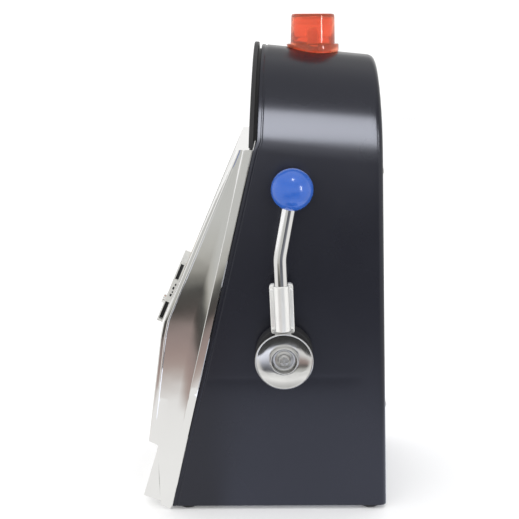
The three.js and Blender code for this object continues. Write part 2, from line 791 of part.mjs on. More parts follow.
// ---------------------------------------------------------------- reels
function starOutline() {
  return Array.from({ length: stops * 2 }, (_, k) => {
    const t = (Math.PI * k) / stops;
    const r = k % 2 ? starInner : starOuter;
    return [reelY + r * Math.cos(t), reelZ + r * Math.sin(t)];
  });
}
function reel(x) {
  const half = reelWidth / 2;
  const rim = reelRadius - 1.5;
  const drum = turned(
    "x",
    [[3.4, -half], [6, -half], [6, -1], [rim, -1], [rim, -half], [reelRadius, -half], [reelRadius, half],
      [rim, half], [rim, 1], [6, 1], [6, half + 1], [3.4, half + 1]],
    reelY,
    reelZ,
    24,
  ).translate(x, 0, 0);
  const star = prismX(starOutline(), x + starOffset - starThick / 2, x + starOffset + starThick / 2);
  return cut(join(drum, star, bar("x", 6, x + half, x + starOffset, reelY, reelZ, 24)),
    bar("x", 3.4, x - 30, x + 30, reelY, reelZ, 24));
}
const reelNames = ["left", "centre", "right"];
reelNames.forEach((name, k) => place(`reel_${name}`, reel((k - 1) * reelPitch), reelWhite));
place("reel_shaft", bar("x", 3, -61, 61, reelY, reelZ, 24), steel);

// Spring-loaded pawls that drop into the star wheels: a hub on the pawl shaft, an arm and a nose in a valley.
const noseAngle = (Math.PI * 5) / stops;
const nose = [reelY + (starInner + 0.6) * Math.cos(noseAngle), reelZ + (starInner + 0.6) * Math.sin(noseAngle)];
function pawl(x) {
  const over = reelZ + starOuter + 1.2;
  const arm = prismX(
    [[pawlY, pawlZ - 3.4], [pawlY, pawlZ + 3.4], [nose[0] - 1.5, over + 4], [nose[0] - 1.5, over + 0.6],
      [nose[0] + 4, over]],
    x - 1,
    x + 1,
  );
  const tip = prismX([[nose[0], nose[1]], [nose[0] + 1.4, over + 1], [nose[0] - 1.4, over + 1]], x - 1, x + 1);
  return cut(
    join(arm, tip, bar("x", 4.2, x - 2, x + 2, pawlY, pawlZ, 18)),
    bar("x", 2.3, x - 9, x + 9, pawlY, pawlZ, 16),
  );
}
reelNames.forEach((name, k) => place(`pawl_${name}`, pawl(starXs[k]), brass));
place("pawl_shaft", bar("x", 2, -61, 61, pawlY, pawlZ, 16), steel);

// ---------------------------------------------------------------- mechanism frame
const tiePlaces = [
  [28, 262],
  [-12, 172],
];
const plateOutline = [[-20, 164], [6, 164], [4, 122], [27, 122], [30, 160], [50, 164], [52, 246], [36, 270], [16, 270],
  [-12, 240]];
function mechanismPlate(x) {
  const hole = (radius, y, z) => bar("x", radius, x - 5, x + 5, y, z, 12);
  return cut(
    prismX(plateOutline, x, x + plateThick),
    hole(3.3, reelY, reelZ),
    hole(2.3, pawlY, pawlZ),
    hole(x > 0 ? 5.4 : 2.8, kickerY, kickerZ),
    hole(shaftRadius + 0.35, leverY, leverZ),
    ...tiePlaces.map(([y, z]) => hole(2.3, y, z)),
    hole(7, 24, 205),
    hole(5, 8, 190),
  );
}
place("mech_plate_left", mechanismPlate(-plateX - plateThick), steel);
place("mech_plate_right", mechanismPlate(plateX), steel);
tiePlaces.forEach(([y, z], k) => {
  place(`tie_rod_${["upper", "lower"][k]}`, bar("x", 2, -60.8, 60.8, y, z, 14), steel);
});

// The lever's return spring: a torsion coil round the inner end of the shaft.
const springTurns = 5;
const springSteps = 8;
const springWire = 0.7;
const coil = Array.from({ length: springTurns * springSteps + 1 }, (_, k) => {
  const t = (2 * Math.PI * k) / springSteps;
  return new THREE.Vector3(47 + (k / springSteps) * 1.9, leverY + 7.6 * Math.cos(t), leverZ + 7.6 * Math.sin(t));
});
const springSection = outline(
  Array.from({ length: 5 }, (_, k) => [
    springWire * Math.cos(72 * k * degrees),
    springWire * Math.sin(72 * k * degrees),
  ]),
);
place(
  "return_spring",
  new THREE.ExtrudeGeometry(springSection, {
    extrudePath: new THREE.CatmullRomCurve3(coil),
    steps: springTurns * springSteps,
  }),
  steel,
);

place(
  "circuit_board",
  join(
    box(-64.2, -62.6, 0, 46, 176, 232),
    box(-66.4, -64, 10, 26, 196, 212),
    box(-67.5, -64, 32, 40, 184, 192),
    bar("x", 3.4, -69, -64, 12, 222, 14),
  ),
  board,
);

export default bank;
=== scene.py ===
# %% [markdown]
# # A toy slot machine savings bank
# The machine is an arch-topped black cabinet with a bright plated front, a pull lever on its side
# and a red beacon on its roof. Its working frame (every part's place, and what turns about what) is
# loaded first and is never moved. Everything made here is a skin on that frame: it lies where the
# frame's parts lie and rides on the same bodies.

# %% Load the frame
import json
import math

import bmesh
import bpy
import numpy as np
from mathutils import Euler, Matrix

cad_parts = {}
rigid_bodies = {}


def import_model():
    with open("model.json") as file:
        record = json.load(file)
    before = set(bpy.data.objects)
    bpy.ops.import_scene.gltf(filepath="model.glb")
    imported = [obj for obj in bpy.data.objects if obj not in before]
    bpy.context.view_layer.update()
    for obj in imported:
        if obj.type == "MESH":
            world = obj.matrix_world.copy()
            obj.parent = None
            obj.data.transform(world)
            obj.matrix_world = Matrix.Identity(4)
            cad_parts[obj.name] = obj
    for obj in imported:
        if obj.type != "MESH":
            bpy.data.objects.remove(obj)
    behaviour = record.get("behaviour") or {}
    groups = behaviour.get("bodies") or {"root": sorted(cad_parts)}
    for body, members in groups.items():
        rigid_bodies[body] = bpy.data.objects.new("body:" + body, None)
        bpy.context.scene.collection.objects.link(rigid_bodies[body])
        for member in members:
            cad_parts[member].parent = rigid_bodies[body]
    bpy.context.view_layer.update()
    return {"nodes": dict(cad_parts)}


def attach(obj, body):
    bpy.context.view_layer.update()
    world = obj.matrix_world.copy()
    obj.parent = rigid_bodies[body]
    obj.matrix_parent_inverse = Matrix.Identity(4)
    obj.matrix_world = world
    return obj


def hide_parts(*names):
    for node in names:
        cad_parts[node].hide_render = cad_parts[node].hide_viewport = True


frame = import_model()
MM = 0.001

# %% [markdown]
# ## From numbers to meshes
# A surface here is a grid of points: one direction runs round or across the piece and the other
# runs along it. The whole grid is worked out in one go as an array, and the quads between its
# points follow from their row and column. Points that fall on each other, as at a pole or where a
# closed ring meets itself, are welded afterwards.


# %% Grid helpers
def quads(rows, columns, wrap_rows=False, wrap_columns=False, keep=None):
    """The four corner numbers of every cell of a rows by columns grid. keep drops cells, as an
    array of cell flags."""
    r = np.arange(rows if wrap_rows else rows - 1)
    c = np.arange(columns if wrap_columns else columns - 1)
    r, c = np.meshgrid(r, c, indexing="ij")
    if keep is not None:
        r, c = r[keep], c[keep]
    r, c = r.ravel(), c.ravel()
    r2, c2 = (r + 1) % rows, (c + 1) % columns
    return np.stack([r * columns + c, r2 * columns + c, r2 * columns + c2, r * columns + c2], axis=1)


def cap(first, count, reverse=False):
    """One many-sided face over a ring of points that are numbered in a row."""
    ring = list(range(first, first + count))
    return ring[::-1] if reverse else ring


class Shape:
    """Points and faces gathered from several surfaces, in millimetres."""

    def __init__(self):
        self.points, self.faces, self.count = [], [], 0

    def add(self, points, faces):
        points = np.asarray(points, dtype=float).reshape(-1, 3)
        self.faces += [[int(i) + self.count for i in face] for face in faces]
        self.points.append(points)
        self.count += len(points)
        return self

    def add_grid(self, grid, wrap_rows=False, wrap_columns=False, keep=None, caps=False):
        """A grid of points of shape (rows, columns, 3). caps closes the first and last row."""
        rows, columns = grid.shape[:2]
        faces = quads(rows, columns, wrap_rows, wrap_columns, keep).tolist()
        if caps:
            faces += [cap(0, columns), cap((rows - 1) * columns, columns, True)]
        return self.add(grid, faces)

    def moved(self, move):
        """The same faces with every point sent through a function."""
        self.points = [move(points) for points in self.points]
        return self


def smooth_below(mesh, angle):
    """Smooth shading, with every edge sharper than the angle, in degrees, kept sharp."""
    mesh.polygons.foreach_set("use_smooth", np.ones(len(mesh.polygons), dtype=bool))
    mesh.set_sharp_from_angle(angle=math.radians(angle))


def finish_mesh(mesh, weld, smooth, outward):
    """Welds doubles, turns faces outwards and smooths every edge flatter than the smooth angle."""
    made = bmesh.new()
    made.from_mesh(mesh)
    bmesh.ops.remove_doubles(made, verts=made.verts, dist=weld)
    bmesh.ops.dissolve_degenerate(made, edges=made.edges, dist=weld)
    if outward:
        bmesh.ops.recalc_face_normals(made, faces=made.faces)
    made.to_mesh(mesh)
    made.free()
    smooth_below(mesh, smooth)
    mesh.update()


def in_place(name, mesh, body, node):
    """An object at the origin that rides on a body and stands for a frame part, which it hides."""
    made = bpy.data.objects.new(name, mesh)
    bpy.context.scene.collection.objects.link(made)
    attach(made, body)
    if node:
        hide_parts(node)
    return made


def piece(name, shape, material, body="cabinet", stands_for=None, smooth=35, weld=2e-6,
          outward=True):
    """A finished object from a Shape: metres, origin at the frame's origin, riding on a body. The frame
    part it stands for, if any, is hidden."""
    mesh = bpy.data.meshes.new(name)
    points = np.concatenate(shape.points) * MM
    mesh.from_pydata(points.tolist(), [], shape.faces)
    finish_mesh(mesh, weld, smooth, outward)
    for each in material if isinstance(material, list) else [material]:
        mesh.materials.append(each)
    print(f"{name}: {len(mesh.polygons)} faces")
    return in_place(name, mesh, body, stands_for)


def rounded(made, width, segments=2, angle=32):
    """Rounds the hard edges of a piece, as moulding or polishing leaves them."""
    bevel = made.modifiers.new("rounded edges", "BEVEL")
    bevel.width, bevel.segments, bevel.limit_method = width * MM, segments, "ANGLE"
    bevel.angle_limit, bevel.harden_normals = math.radians(angle), True
    bevel.use_clamp_overlap = True
    return made


def softened(node, name, material, body="cabinet", width=0.4, segments=2):
    """A welded copy of a frame part with its flat faces merged and its edges rounded, standing for
    that part."""
    mesh = frame["nodes"][node].data.copy()
    mesh.name = name
    made = bmesh.new()
    made.from_mesh(mesh)
    bmesh.ops.remove_doubles(made, verts=made.verts, dist=1e-6)
    bmesh.ops.dissolve_limit(made, angle_limit=math.radians(0.6), verts=made.verts, edges=made.edges)
    made.to_mesh(mesh)
    made.free()
    smooth_below(mesh, 32)
    mesh.materials.clear()
    mesh.materials.append(material)
    return rounded(in_place(name, mesh, body, node), width, segments)


# %% [markdown]
# ## Places on the machine
# The front is made of leaning faces. Each has a frame of its own: x across the machine, y into it
# and z up the face. A part drawn flat in such a frame is leaned into place by one rotation about X
# and a shift.


# %% Frames of the leaning faces
def leaning(y, z, tilt, x=0.0):
    """Turns points about X by tilt and shifts them to (x, y, z)."""
    c, s = math.cos(tilt), math.sin(tilt)
    turn = np.array([[1, 0, 0], [0, c, -s], [0, s, c]])
    return lambda p: p @ turn.T + np.array([x, y, z])


SHOULDER = 286.0
TOP, KNEE, CHIN, LIP = (-20.7, 285.8), (-75.6, 156.9), (-78.4, 143.8), (-90.1, 58.2)
NOTCH, TOE = (-83.3, 54.8), (-82.5, 3.6)
BACK_LEAN = 0.0355
on_slope = leaning(*TOP, -math.atan2(TOP[0] - KNEE[0], TOP[1] - KNEE[1]))
on_belly = leaning(*CHIN, -math.atan2(CHIN[0] - LIP[0], CHIN[1] - LIP[1]))
on_head = leaning(-10.65, 286.8, -math.atan(0.04))
on_back = leaning(96.8 + 3 * BACK_LEAN, 0, math.atan(BACK_LEAN))
LEVER_Y, LEVER_Z, LEVER_TILT = 15.4, 132.45, math.radians(2.44)
on_lever = leaning(LEVER_Y, LEVER_Z, LEVER_TILT, x=4.0)


def front_edge(z):
    """Depth of the cabinet's sloping front edge at height z."""
    return -73.1 + (z - 2.2) * math.tan(math.radians(13.04))


def half_width(y):
    """Half of the cabinet's width at depth y. It narrows a little towards the back."""
    return 74 - (y + 5) * 0.026


def spring_line(y):
    """Height at depth y where the straight sides end and the arch begins."""
    return 287.5 - (y + 1.4) * 0.0613


def crest(y):
    """Height of the roof's highest line at depth y."""
    return 358.7 - (y + 3.8) * 0.1005


print("slope faces lean", round(math.degrees(math.atan2(TOP[0] - KNEE[0], TOP[1] - KNEE[1])), 2),
      "degrees")

# %% [markdown]
# ## Finishes
# Every finish is a small node network: a base colour, a noise that shifts it a little from place to
# place, another that breaks up the roughness, and a fine bump. Moulded black plastic shows orange
# peel and handling marks, plated plastic is a mirror with a slow ripple, and printed card has a
# soft sheen.


# %% Finish helpers
def finish(name, colour, rough, metal=0.0, blotch=0.12, scale=18.0, rough_spread=0.12, bump=0.0,
           bump_scale=900.0, coat=0.0, transmission=0.0, ior=1.46, wave=0.0, wave_scale=12.0):
    """A finish. blotch is how far the colour drifts, bump the height of the fine grain and wave of
    the slow ripple."""
    made = bpy.data.materials.new(name)
    made.use_nodes = True
    nodes, links = made.node_tree.nodes, made.node_tree.links
    shader = nodes["Principled BSDF"]
    shader.inputs["Metallic"].default_value = metal
    shader.inputs["IOR"].default_value = ior
    shader.inputs["Coat Weight"].default_value = coat
    shader.inputs["Coat Roughness"].default_value = 0.08
    shader.inputs["Transmission Weight"].default_value = transmission
    place = nodes.new("ShaderNodeTexCoord")
    drift = nodes.new("ShaderNodeTexNoise")
    drift.inputs["Scale"].default_value = scale
    drift.inputs["Detail"].default_value = 5.0
    links.new(place.outputs["Object"], drift.inputs["Vector"])
    tint = nodes.new("ShaderNodeValToRGB")
    low, high = tint.color_ramp.elements
    low.position, high.position = 0.3, 0.72
    low.color = (*[c * (1 - blotch) for c in colour], 1)
    high.color = (*[min(1, c * (1 + blotch) + 0.004 * blotch) for c in colour], 1)
    links.new(drift.outputs["Fac"], tint.inputs["Fac"])
    links.new(tint.outputs["Color"], shader.inputs["Base Color"])
    worn = nodes.new("ShaderNodeTexNoise")
    worn.inputs["Scale"].default_value = scale * 2.7
    worn.inputs["Detail"].default_value = 8.0
    worn.inputs["Roughness"].default_value = 0.65
    links.new(place.outputs["Object"], worn.inputs["Vector"])
    spread = nodes.new("ShaderNodeMapRange")
    spread.inputs["From Min"].default_value, spread.inputs["From Max"].default_value = 0.3, 0.7
    spread.inputs["To Min"].default_value = max(0.02, rough * (1 - rough_spread))
    spread.inputs["To Max"].default_value = min(1.0, rough * (1 + rough_spread))
    links.new(worn.outputs["Fac"], spread.inputs["Value"])
    links.new(spread.outputs["Result"], shader.inputs["Roughness"])
    last = None
    for height, size in ((bump, bump_scale), (wave, wave_scale)):
        if not height:
            continue
        grain = nodes.new("ShaderNodeTexNoise")
        grain.inputs["Scale"].default_value = size
        grain.inputs["Detail"].default_value = 2.0
        links.new(place.outputs["Object"], grain.inputs["Vector"])
        relief = nodes.new("ShaderNodeBump")
        relief.inputs["Strength"].default_value = 0.6
        relief.inputs["Distance"].default_value = height * MM
        links.new(grain.outputs["Fac"], relief.inputs["Height"])
        if last:
            links.new(last.outputs["Normal"], relief.inputs["Normal"])
        last = relief
    if last:
        links.new(last.outputs["Normal"], shader.inputs["Normal"])
    return made


black_case = finish("moulded black case", (0.0092, 0.0094, 0.0145), 0.23, blotch=0.15, scale=9,
                    rough_spread=0.05, bump=0.006, bump_scale=900, wave=0.03, wave_scale=7)
black_case.node_tree.nodes["Principled BSDF"].inputs["Specular Tint"].default_value = (
    0.86, 0.89, 1.0, 1.0)
black_satin = finish("satin black plastic", (0.02, 0.02, 0.022), 0.45, blotch=0.2, bump=0.03,
                     bump_scale=1500)
dark_matt = finish("matt dark plastic", (0.018, 0.018, 0.02), 0.6, blotch=0.25, bump=0.05,
                   bump_scale=1200)
plated = finish("bright plated plastic", (0.86, 0.86, 0.85), 0.07, metal=1.0, blotch=0.03, scale=14,
                rough_spread=0.5, wave=0.22, wave_scale=26)
chromed = finish("chromed steel", (0.86, 0.86, 0.86), 0.06, metal=1.0, blotch=0.02, scale=30,
                 rough_spread=0.5, wave=0.03, wave_scale=60)
worn_chrome = finish("worn chrome", (0.72, 0.72, 0.71), 0.15, metal=1.0, blotch=0.05, scale=60,
                     rough_spread=0.3, wave=0.03, wave_scale=50)
zinc = finish("zinc plated steel", (0.56, 0.56, 0.55), 0.32, metal=1.0, blotch=0.1, scale=60, bump=0.02)
plate_steel = finish("pressed steel plate", (0.5, 0.5, 0.5), 0.38, metal=1.0, blotch=0.12, scale=35,
                     bump=0.03, bump_scale=400)
white_plastic = finish("white working plastic", (0.72, 0.71, 0.66), 0.42, blotch=0.05, bump=0.02)
ivory_strip = finish("printed reel strip", (0.83, 0.8, 0.7), 0.42, blotch=0.04, scale=40, bump=0.02)
blue_gloss = finish("glossy blue plastic", (0.026, 0.112, 0.48), 0.2, blotch=0.08, scale=50, coat=0.3,
                    rough_spread=0.2, bump=0.015, bump_scale=300)
red_glow = finish("clear red plastic", (1.0, 0.27, 0.135), 0.08, blotch=0.04, scale=60,
                  transmission=0.85, ior=1.46, bump=0.02, bump_scale=260)
frosted = finish("frosted silver plastic", (0.8, 0.8, 0.77), 0.4, metal=0.45, blotch=0.04, scale=90,
                 bump=0.02)
satin_steel = finish("satin polished steel", (0.9, 0.9, 0.885), 0.24, metal=0.55, blotch=0.03, scale=40,
                     rough_spread=0.05)
clear_plastic = finish("clear window plastic", (0.95, 0.97, 0.98), 0.04, blotch=0.01,
                       transmission=1.0, ior=1.1, bump=0.01, bump_scale=90)
rubber = finish("black rubber", (0.014, 0.014, 0.014), 0.8, blotch=0.25, scale=120, bump=0.08,
                bump_scale=1800)
board_green = finish("circuit board", (0.012, 0.12, 0.04), 0.35, blotch=0.3, scale=160, bump=0.03,
                     bump_scale=700)
gold_ink = finish("gold ink", (0.78, 0.5, 0.12), 0.35, metal=0.55, blotch=0.1, scale=60)
red_ink = finish("red ink", (0.6, 0.014, 0.018), 0.38, blotch=0.08, scale=60)
green_ink = finish("green ink", (0.02, 0.26, 0.05), 0.38, blotch=0.08, scale=60)
violet_ink = finish("violet ink", (0.12, 0.02, 0.24), 0.38, blotch=0.08, scale=60)
black_ink = finish("black ink", (0.012, 0.012, 0.014), 0.4, blotch=0.1, scale=60)
cream_ink = finish("cream ink", (0.8, 0.74, 0.55), 0.42, blotch=0.05, scale=60)
brass = finish("brass", (0.72, 0.5, 0.2), 0.3, metal=1.0, blotch=0.1, scale=80, bump=0.02)
cell_can = finish("battery can", (0.03, 0.05, 0.12), 0.28, metal=0.3, blotch=0.1, scale=60, coat=0.3)
warm_lamp = finish("lamp amber", (1.0, 0.6, 0.2), 0.3, blotch=0.04, scale=60)
print("finishes:", len(bpy.data.materials))

# %% [markdown]
# ## The cabinet
# The real cabinet is one moulding: straight sides that lean in a little, an arched roof that drops
# towards the back, a rounded edge into a flat back wall. It is drawn as one grid. Columns run from
# the foot of one side, up and over the arch, to the foot of the other. Rows run from the front edge
# to the back edge, round the corner and on across the back wall, until they meet a rectangle of
# wall that holds the openings. The wall gets its thickness afterwards.

# %% The cabinet's grid lines
EDGE_RADIUS = 5.0
SKIN = 2.4
COIN_DOOR = (38, 17, 60)
BATTERY_DOOR = (33, 184, 241)
SWITCH_X, SWITCH_Z = 46, 128
SPEAKER_X, SPEAKER_Z, SPEAKER_R = -40, 133, 17
slot_heights = [SPEAKER_Z + 6 * k for k in (-2, -1, 0, 1, 2)]
wall_half, wall_top = 56.0, 262.0
wall_x = sorted({-wall_half, -38, -33, -54.5, -25.5, 33, 38, 40, 52, wall_half,
                 *np.linspace(-24, 30, 10).round(2)})
wall_z = sorted({3.0, 17, 60, 184, 241, wall_top, SWITCH_Z - 2.6, SWITCH_Z + 2.6,
                 *[z + d for z in slot_heights for d in (-1.1, 1.1)],
                 *np.linspace(8, 255, 26).round(1)})
wall_x, wall_z = np.array(wall_x, float), np.array(wall_z, float)
print("back wall grid:", len(wall_z), "by", len(wall_x))


# %% The cabinet's surface
def arch_ring(inset, depth_of):
    """The cabinet's outline, foot to foot, taken in by inset. Straight sides stop at the spring
    line and half an ellipse joins them: x = half cos t, z = spring + rise sin t. Height and depth
    depend on each other, so they are worked out three times, each time closer."""
    rise_z = (wall_z - 3) / (wall_top - 3)
    turn = np.linspace(math.pi, 0, len(wall_x))[1:-1]
    y = np.zeros(2 * len(wall_z) + len(turn))
    for _ in range(3):
        half, spring, top = half_width(y) - inset, spring_line(y), crest(y) - inset
        side = len(wall_z)
        x = np.concatenate([-half[:side], half[side:-side] * np.cos(turn), half[-side:]])
        z = np.concatenate([
            3 + rise_z * (spring[:side] - 3),
            spring[side:-side] + (top - spring)[side:-side] * np.sin(turn),
            (3 + rise_z * (spring[-side:] - 3))[::-1],
        ])
        y = depth_of(z)
    return np.stack([x, y, z], axis=1)


def front_depth(z):
    """The front edge: the slope up to the shoulder, then the nearly upright edge of the arched
    head."""
    return np.where(z < SHOULDER - 1, front_edge(z), -5 + (z - SHOULDER) * 0.04)


def back_depth(z):
    """Depth of the back wall at height z. It leans forward as it rises."""
    return 96.8 - (z - 3) * BACK_LEAN


def cabinet_rings():
    """Rings from the rounded lip at the front to the inner rectangle of the back wall."""
    rings = []
    for inset, forward in ((2.3, 0.9), (1.5, 0.25), (0.7, 0.0), (0.2, 0.3), (0.0, 0.9), (0.0, 2.6),
                           (0.35, 3.0), (0.45, 3.5), (0.35, 4.0), (0.0, 4.5)):
        rings.append(arch_ring(inset, lambda z, f=forward: front_depth(z) + f))
    for part in (0.1, 0.25, 0.4, 0.55, 0.7, 0.85, 0.95):
        rings.append(arch_ring(0.0, lambda z, p=part: (1 - p) * (front_depth(z) + 4.5)
                               + p * (back_depth(z) - EDGE_RADIUS)))
    for t in np.radians([0, 15, 30, 45, 60, 75, 90]):
        rings.append(arch_ring(EDGE_RADIUS * (1 - math.cos(t)),
                               lambda z, s=math.sin(t): back_depth(z) - EDGE_RADIUS * (1 - s)))
    outer = rings[-1]
    inner_x = np.concatenate([np.full(len(wall_z), -wall_half), wall_x[1:-1],
                              np.full(len(wall_z), wall_half)])
    inner_z = np.concatenate([wall_z, np.full(len(wall_x) - 2, wall_top), wall_z[::-1]])
    inner = np.stack([inner_x, back_depth(inner_z), inner_z], axis=1)
    for part in (0.25, 0.5, 0.75, 1.0):
        rings.append(outer + part * (inner - outer))
    return np.stack(rings)


cabinet = Shape()
cabinet.add_grid(cabinet_rings()[:, ::-1])
grid_x, grid_z = np.meshgrid(wall_x, wall_z)
middle_x = (wall_x[1:] + wall_x[:-1]) / 2
middle_z = (wall_z[1:] + wall_z[:-1]) / 2
cell_x, cell_z = np.meshgrid(middle_x, middle_z)
open_cell = np.zeros(cell_x.shape, bool)
for half, low, high in (COIN_DOOR, BATTERY_DOOR):
    open_cell |= (abs(cell_x) < half) & (cell_z > low) & (cell_z < high)
open_cell |= (abs(cell_x - SWITCH_X) < 6) & (abs(cell_z - SWITCH_Z) < 2.6)
for z in slot_heights:
    open_cell |= (cell_x > -54.5) & (cell_x < -25.5) & (abs(cell_z - z) < 1.1)
wall_grid = np.stack([grid_x, back_depth(grid_z), grid_z], axis=2)
cabinet.add_grid(wall_grid, keep=~open_cell)
case = piece("cabinet_case", cabinet, black_case, stands_for="back_shell", smooth=28, weld=2e-5,
             outward=False)
thick = case.modifiers.new("wall thickness", "SOLIDIFY")
thick.thickness, thick.offset = SKIN * MM, -1
rounded(case, 0.3, 2, 50)

# %% [markdown]
# ## Round parts and bars
# A turned part is its half outline swept about a line: every point is (r cos t, r sin t) round that
# line. A bar that bends is a ring carried along a path, held square to the path's direction at each
# step.


# %% Turned parts and bars
def turned(profile, steps=64, along="z"):
    """A surface of revolution. profile holds (radius, place along the line) pairs, and the line is
    X or Z."""
    profile = np.asarray(profile, float)
    t = np.linspace(0, 2 * math.pi, steps, endpoint=False)
    r, h = profile[:, 0][:, None], profile[:, 1][:, None]
    a, b, c = r * np.cos(t), r * np.sin(t), h + 0 * t
    grid = np.stack([c, a, b] if along == "x" else [a, b, c], axis=2)
    return Shape().add_grid(grid, wrap_columns=True)


def arc(centre, radius, start, end, steps=6):
    """Points on a circle from one angle to another, for a rounded corner of a profile."""
    t = np.radians(np.linspace(start, end, steps))
    return [(centre[0] + radius * math.cos(a), centre[1] + radius * math.sin(a)) for a in t]


def bar(path, radius, sides=32, ends=0.8):
    """A round bar along a path in a plane of constant x, with a small rounding at each end: a ring
    of the given radius stands across the path's direction at each point."""
    path = np.asarray(path, float)
    way = np.gradient(path, axis=0)
    way /= np.linalg.norm(way, axis=1)[:, None]
    across = np.tile([1.0, 0, 0], (len(path), 1))
    up = np.cross(way, across)
    t = np.linspace(0, 2 * math.pi, sides, endpoint=False)
    rings = path[:, None] + radius * (np.cos(t)[None, :, None] * across[:, None]
                                      + np.sin(t)[None, :, None] * up[:, None])
    bends = np.radians([90, 60, 30, 0])
    first = [path[0] - way[0] * ends * math.sin(a)
             + (rings[0] - path[0]) * (1 - ends / radius * (1 - math.cos(a))) for a in bends[:-1]]
    last = [path[-1] + way[-1] * ends * math.sin(a)
            + (rings[-1] - path[-1]) * (1 - ends / radius * (1 - math.cos(a)))
            for a in bends[::-1][1:]]
    return Shape().add_grid(np.concatenate([first, rings, last]), wrap_columns=True, caps=True)


def rounded_outline(width, tall, radius, steps=6):
    """A rectangle with rounded corners, as points in order round its middle."""
    spots = []
    for sx, sy, start in ((1, 1, 0), (-1, 1, 90), (-1, -1, 180), (1, -1, 270)):
        spots += arc((sx * (width / 2 - radius), sy * (tall / 2 - radius)), radius, start,
                     start + 90, steps)
    return np.array(spots)


def slab(outline, low, high, edge=0.4, plane="xz"):
    """A flat piece with rounded edges: the outline shrinks as it rolls over its top and bottom
    edge. plane says which two directions the outline lies in. low and high are its faces along the
    third."""
    outline = np.asarray(outline, float)
    before, after = np.roll(outline, 1, axis=0), np.roll(outline, -1, axis=0)
    way = after - before
    way /= np.linalg.norm(way, axis=1)[:, None] + 1e-12
    inward = np.stack([-way[:, 1], way[:, 0]], axis=1)
    turns = np.radians([90, 60, 30, 0])
    steps = [(edge * (1 - math.cos(t)), low + edge * (1 - math.sin(t))) for t in turns]
    steps += [(edge * (1 - math.cos(t)), high - edge * (1 - math.sin(t))) for t in turns[::-1]]
    rings = []
    for inset, place in steps:
        flat = outline + inward * inset
        third = np.full(len(flat), place)
        order = {"xz": (flat[:, 0], third, flat[:, 1]), "yz": (third, flat[:, 0], flat[:, 1]),
                 "xy": (flat[:, 0], flat[:, 1], third)}[plane]
        rings.append(np.stack(order, axis=1))
    return Shape().add_grid(np.stack(rings), wrap_columns=True, caps=True)


def merged(*shapes):
    """Several shapes as one."""
    total = Shape()
    for shape in shapes:
        start = total.count
        for points in shape.points:
            total.points.append(points)
            total.count += len(points)
        total.faces += [[i + start for i in face] for face in shape.faces]
    return total


print("a turned ring has", len(turned([(1, 0), (1, 1)], 16).faces), "faces for 16 steps")

# %% [markdown]
# ## The arched head
# A flat frame closes the front of the arched head. Its section, an L with rounded front edges, is
# carried round the arch and back along the straight bottom edge. Behind it sit a clear lens and a
# printed board with a burst of rays.


# %% The head's frame, lens and board
def head_outline(inset, steps=72):
    """The arch in the head's own frame, taken in by inset: x = half cos t, z = rise sin t, from one
    foot to the other."""
    half, rise = 75 - inset, 73.6 - inset
    start = math.asin(inset / rise)
    t = np.linspace(start, math.pi - start, steps)
    return np.stack([half * np.cos(t), rise * np.sin(t)], axis=1)


def head_ring(section):
    """A section of (inset, depth) pairs carried round the arch's closed outline."""
    grid = np.stack([np.insert(head_outline(max(inset, 0.0)), 1, depth, axis=1)
                     for inset, depth in section])
    return Shape().add_grid(grid, wrap_rows=True, wrap_columns=True)


frame_section = [(0.0, 0.6), (0.25, 0.15), (0.7, 0.0), (7.3, 0.0), (7.8, 0.2), (8.0, 0.7),
                 (8.0, 1.25), (6.7, 1.3), (6.7, 6.9), (5.1, 6.9), (5.1, 3.4), (0.6, 3.4),
                 (0.15, 3.25), (0.0, 2.9)]
piece("head_frame", head_ring(frame_section).moved(on_head), black_satin, stands_for="arch_frame")
piece("head_lens", slab(head_outline(6.95), 1.5, 2.9, 0.2).moved(on_head), clear_plastic,
      stands_for="marquee_lens")

burst = finish("burst print", (0.5, 0.02, 0.02), 0.38, blotch=0.05, scale=20)


def sums(tree, operation, first, second=None):
    """One arithmetic node, fed by sockets or plain numbers."""
    made = tree.nodes.new("ShaderNodeMath")
    made.operation = operation
    for socket, value in zip(made.inputs, (first, second)):
        if isinstance(value, (int, float)):
            socket.default_value = value
        elif value is not None:
            tree.links.new(value, socket)
    return made.outputs["Value"]


def rays(material, centre_z, count, first, second):
    """Rays round a centre on the front: the angle atan2(x, z - centre) times the count, through a
    sine."""
    tree = material.node_tree
    height = sums(tree, "SUBTRACT", split_of(tree).outputs["Z"], centre_z)
    turn = sums(tree, "ARCTAN2", split_of(tree).outputs["X"], height)
    swing = sums(tree, "SINE", sums(tree, "MULTIPLY", turn, count))
    sharp = sums(tree, "MULTIPLY_ADD", swing, 6.0)
    mix = tree.nodes.new("ShaderNodeValToRGB")
    mix.color_ramp.elements[0].color, mix.color_ramp.elements[1].color = (*first, 1), (*second, 1)
    tree.links.new(sharp, mix.inputs["Fac"])
    tree.links.new(mix.outputs["Color"], tree.nodes["Principled BSDF"].inputs["Base Color"])


def split_of(tree):
    """The tree's own split of Object coordinates, made once."""
    for node in tree.nodes:
        if node.type == "SEPXYZ":
            return node
    place, made = tree.nodes.new("ShaderNodeTexCoord"), tree.nodes.new("ShaderNodeSeparateXYZ")
    tree.links.new(place.outputs["Object"], made.inputs["Vector"])
    return made


rays(burst, 0.30, 18, (0.5, 0.012, 0.02), (0.85, 0.42, 0.03))
piece("head_board", slab(head_outline(6.95), 3.4, 4.9, 0.2).moved(on_head), burst,
      stands_for="marquee_board")

# %% [markdown]
# ## The plated front
# The bright front is one moulding that wraps from side wall to side wall. Its outline, seen from
# the side, is carried across: rows follow the outline from the top shoulder to the toe, columns run
# back along one side wall, round a small corner, across the front and back along the other wall.
# The raised border and flange of each side wall are steps in the columns, so that they stay sharp
# and keep an even width, and they fade into a plain wall at the foot.

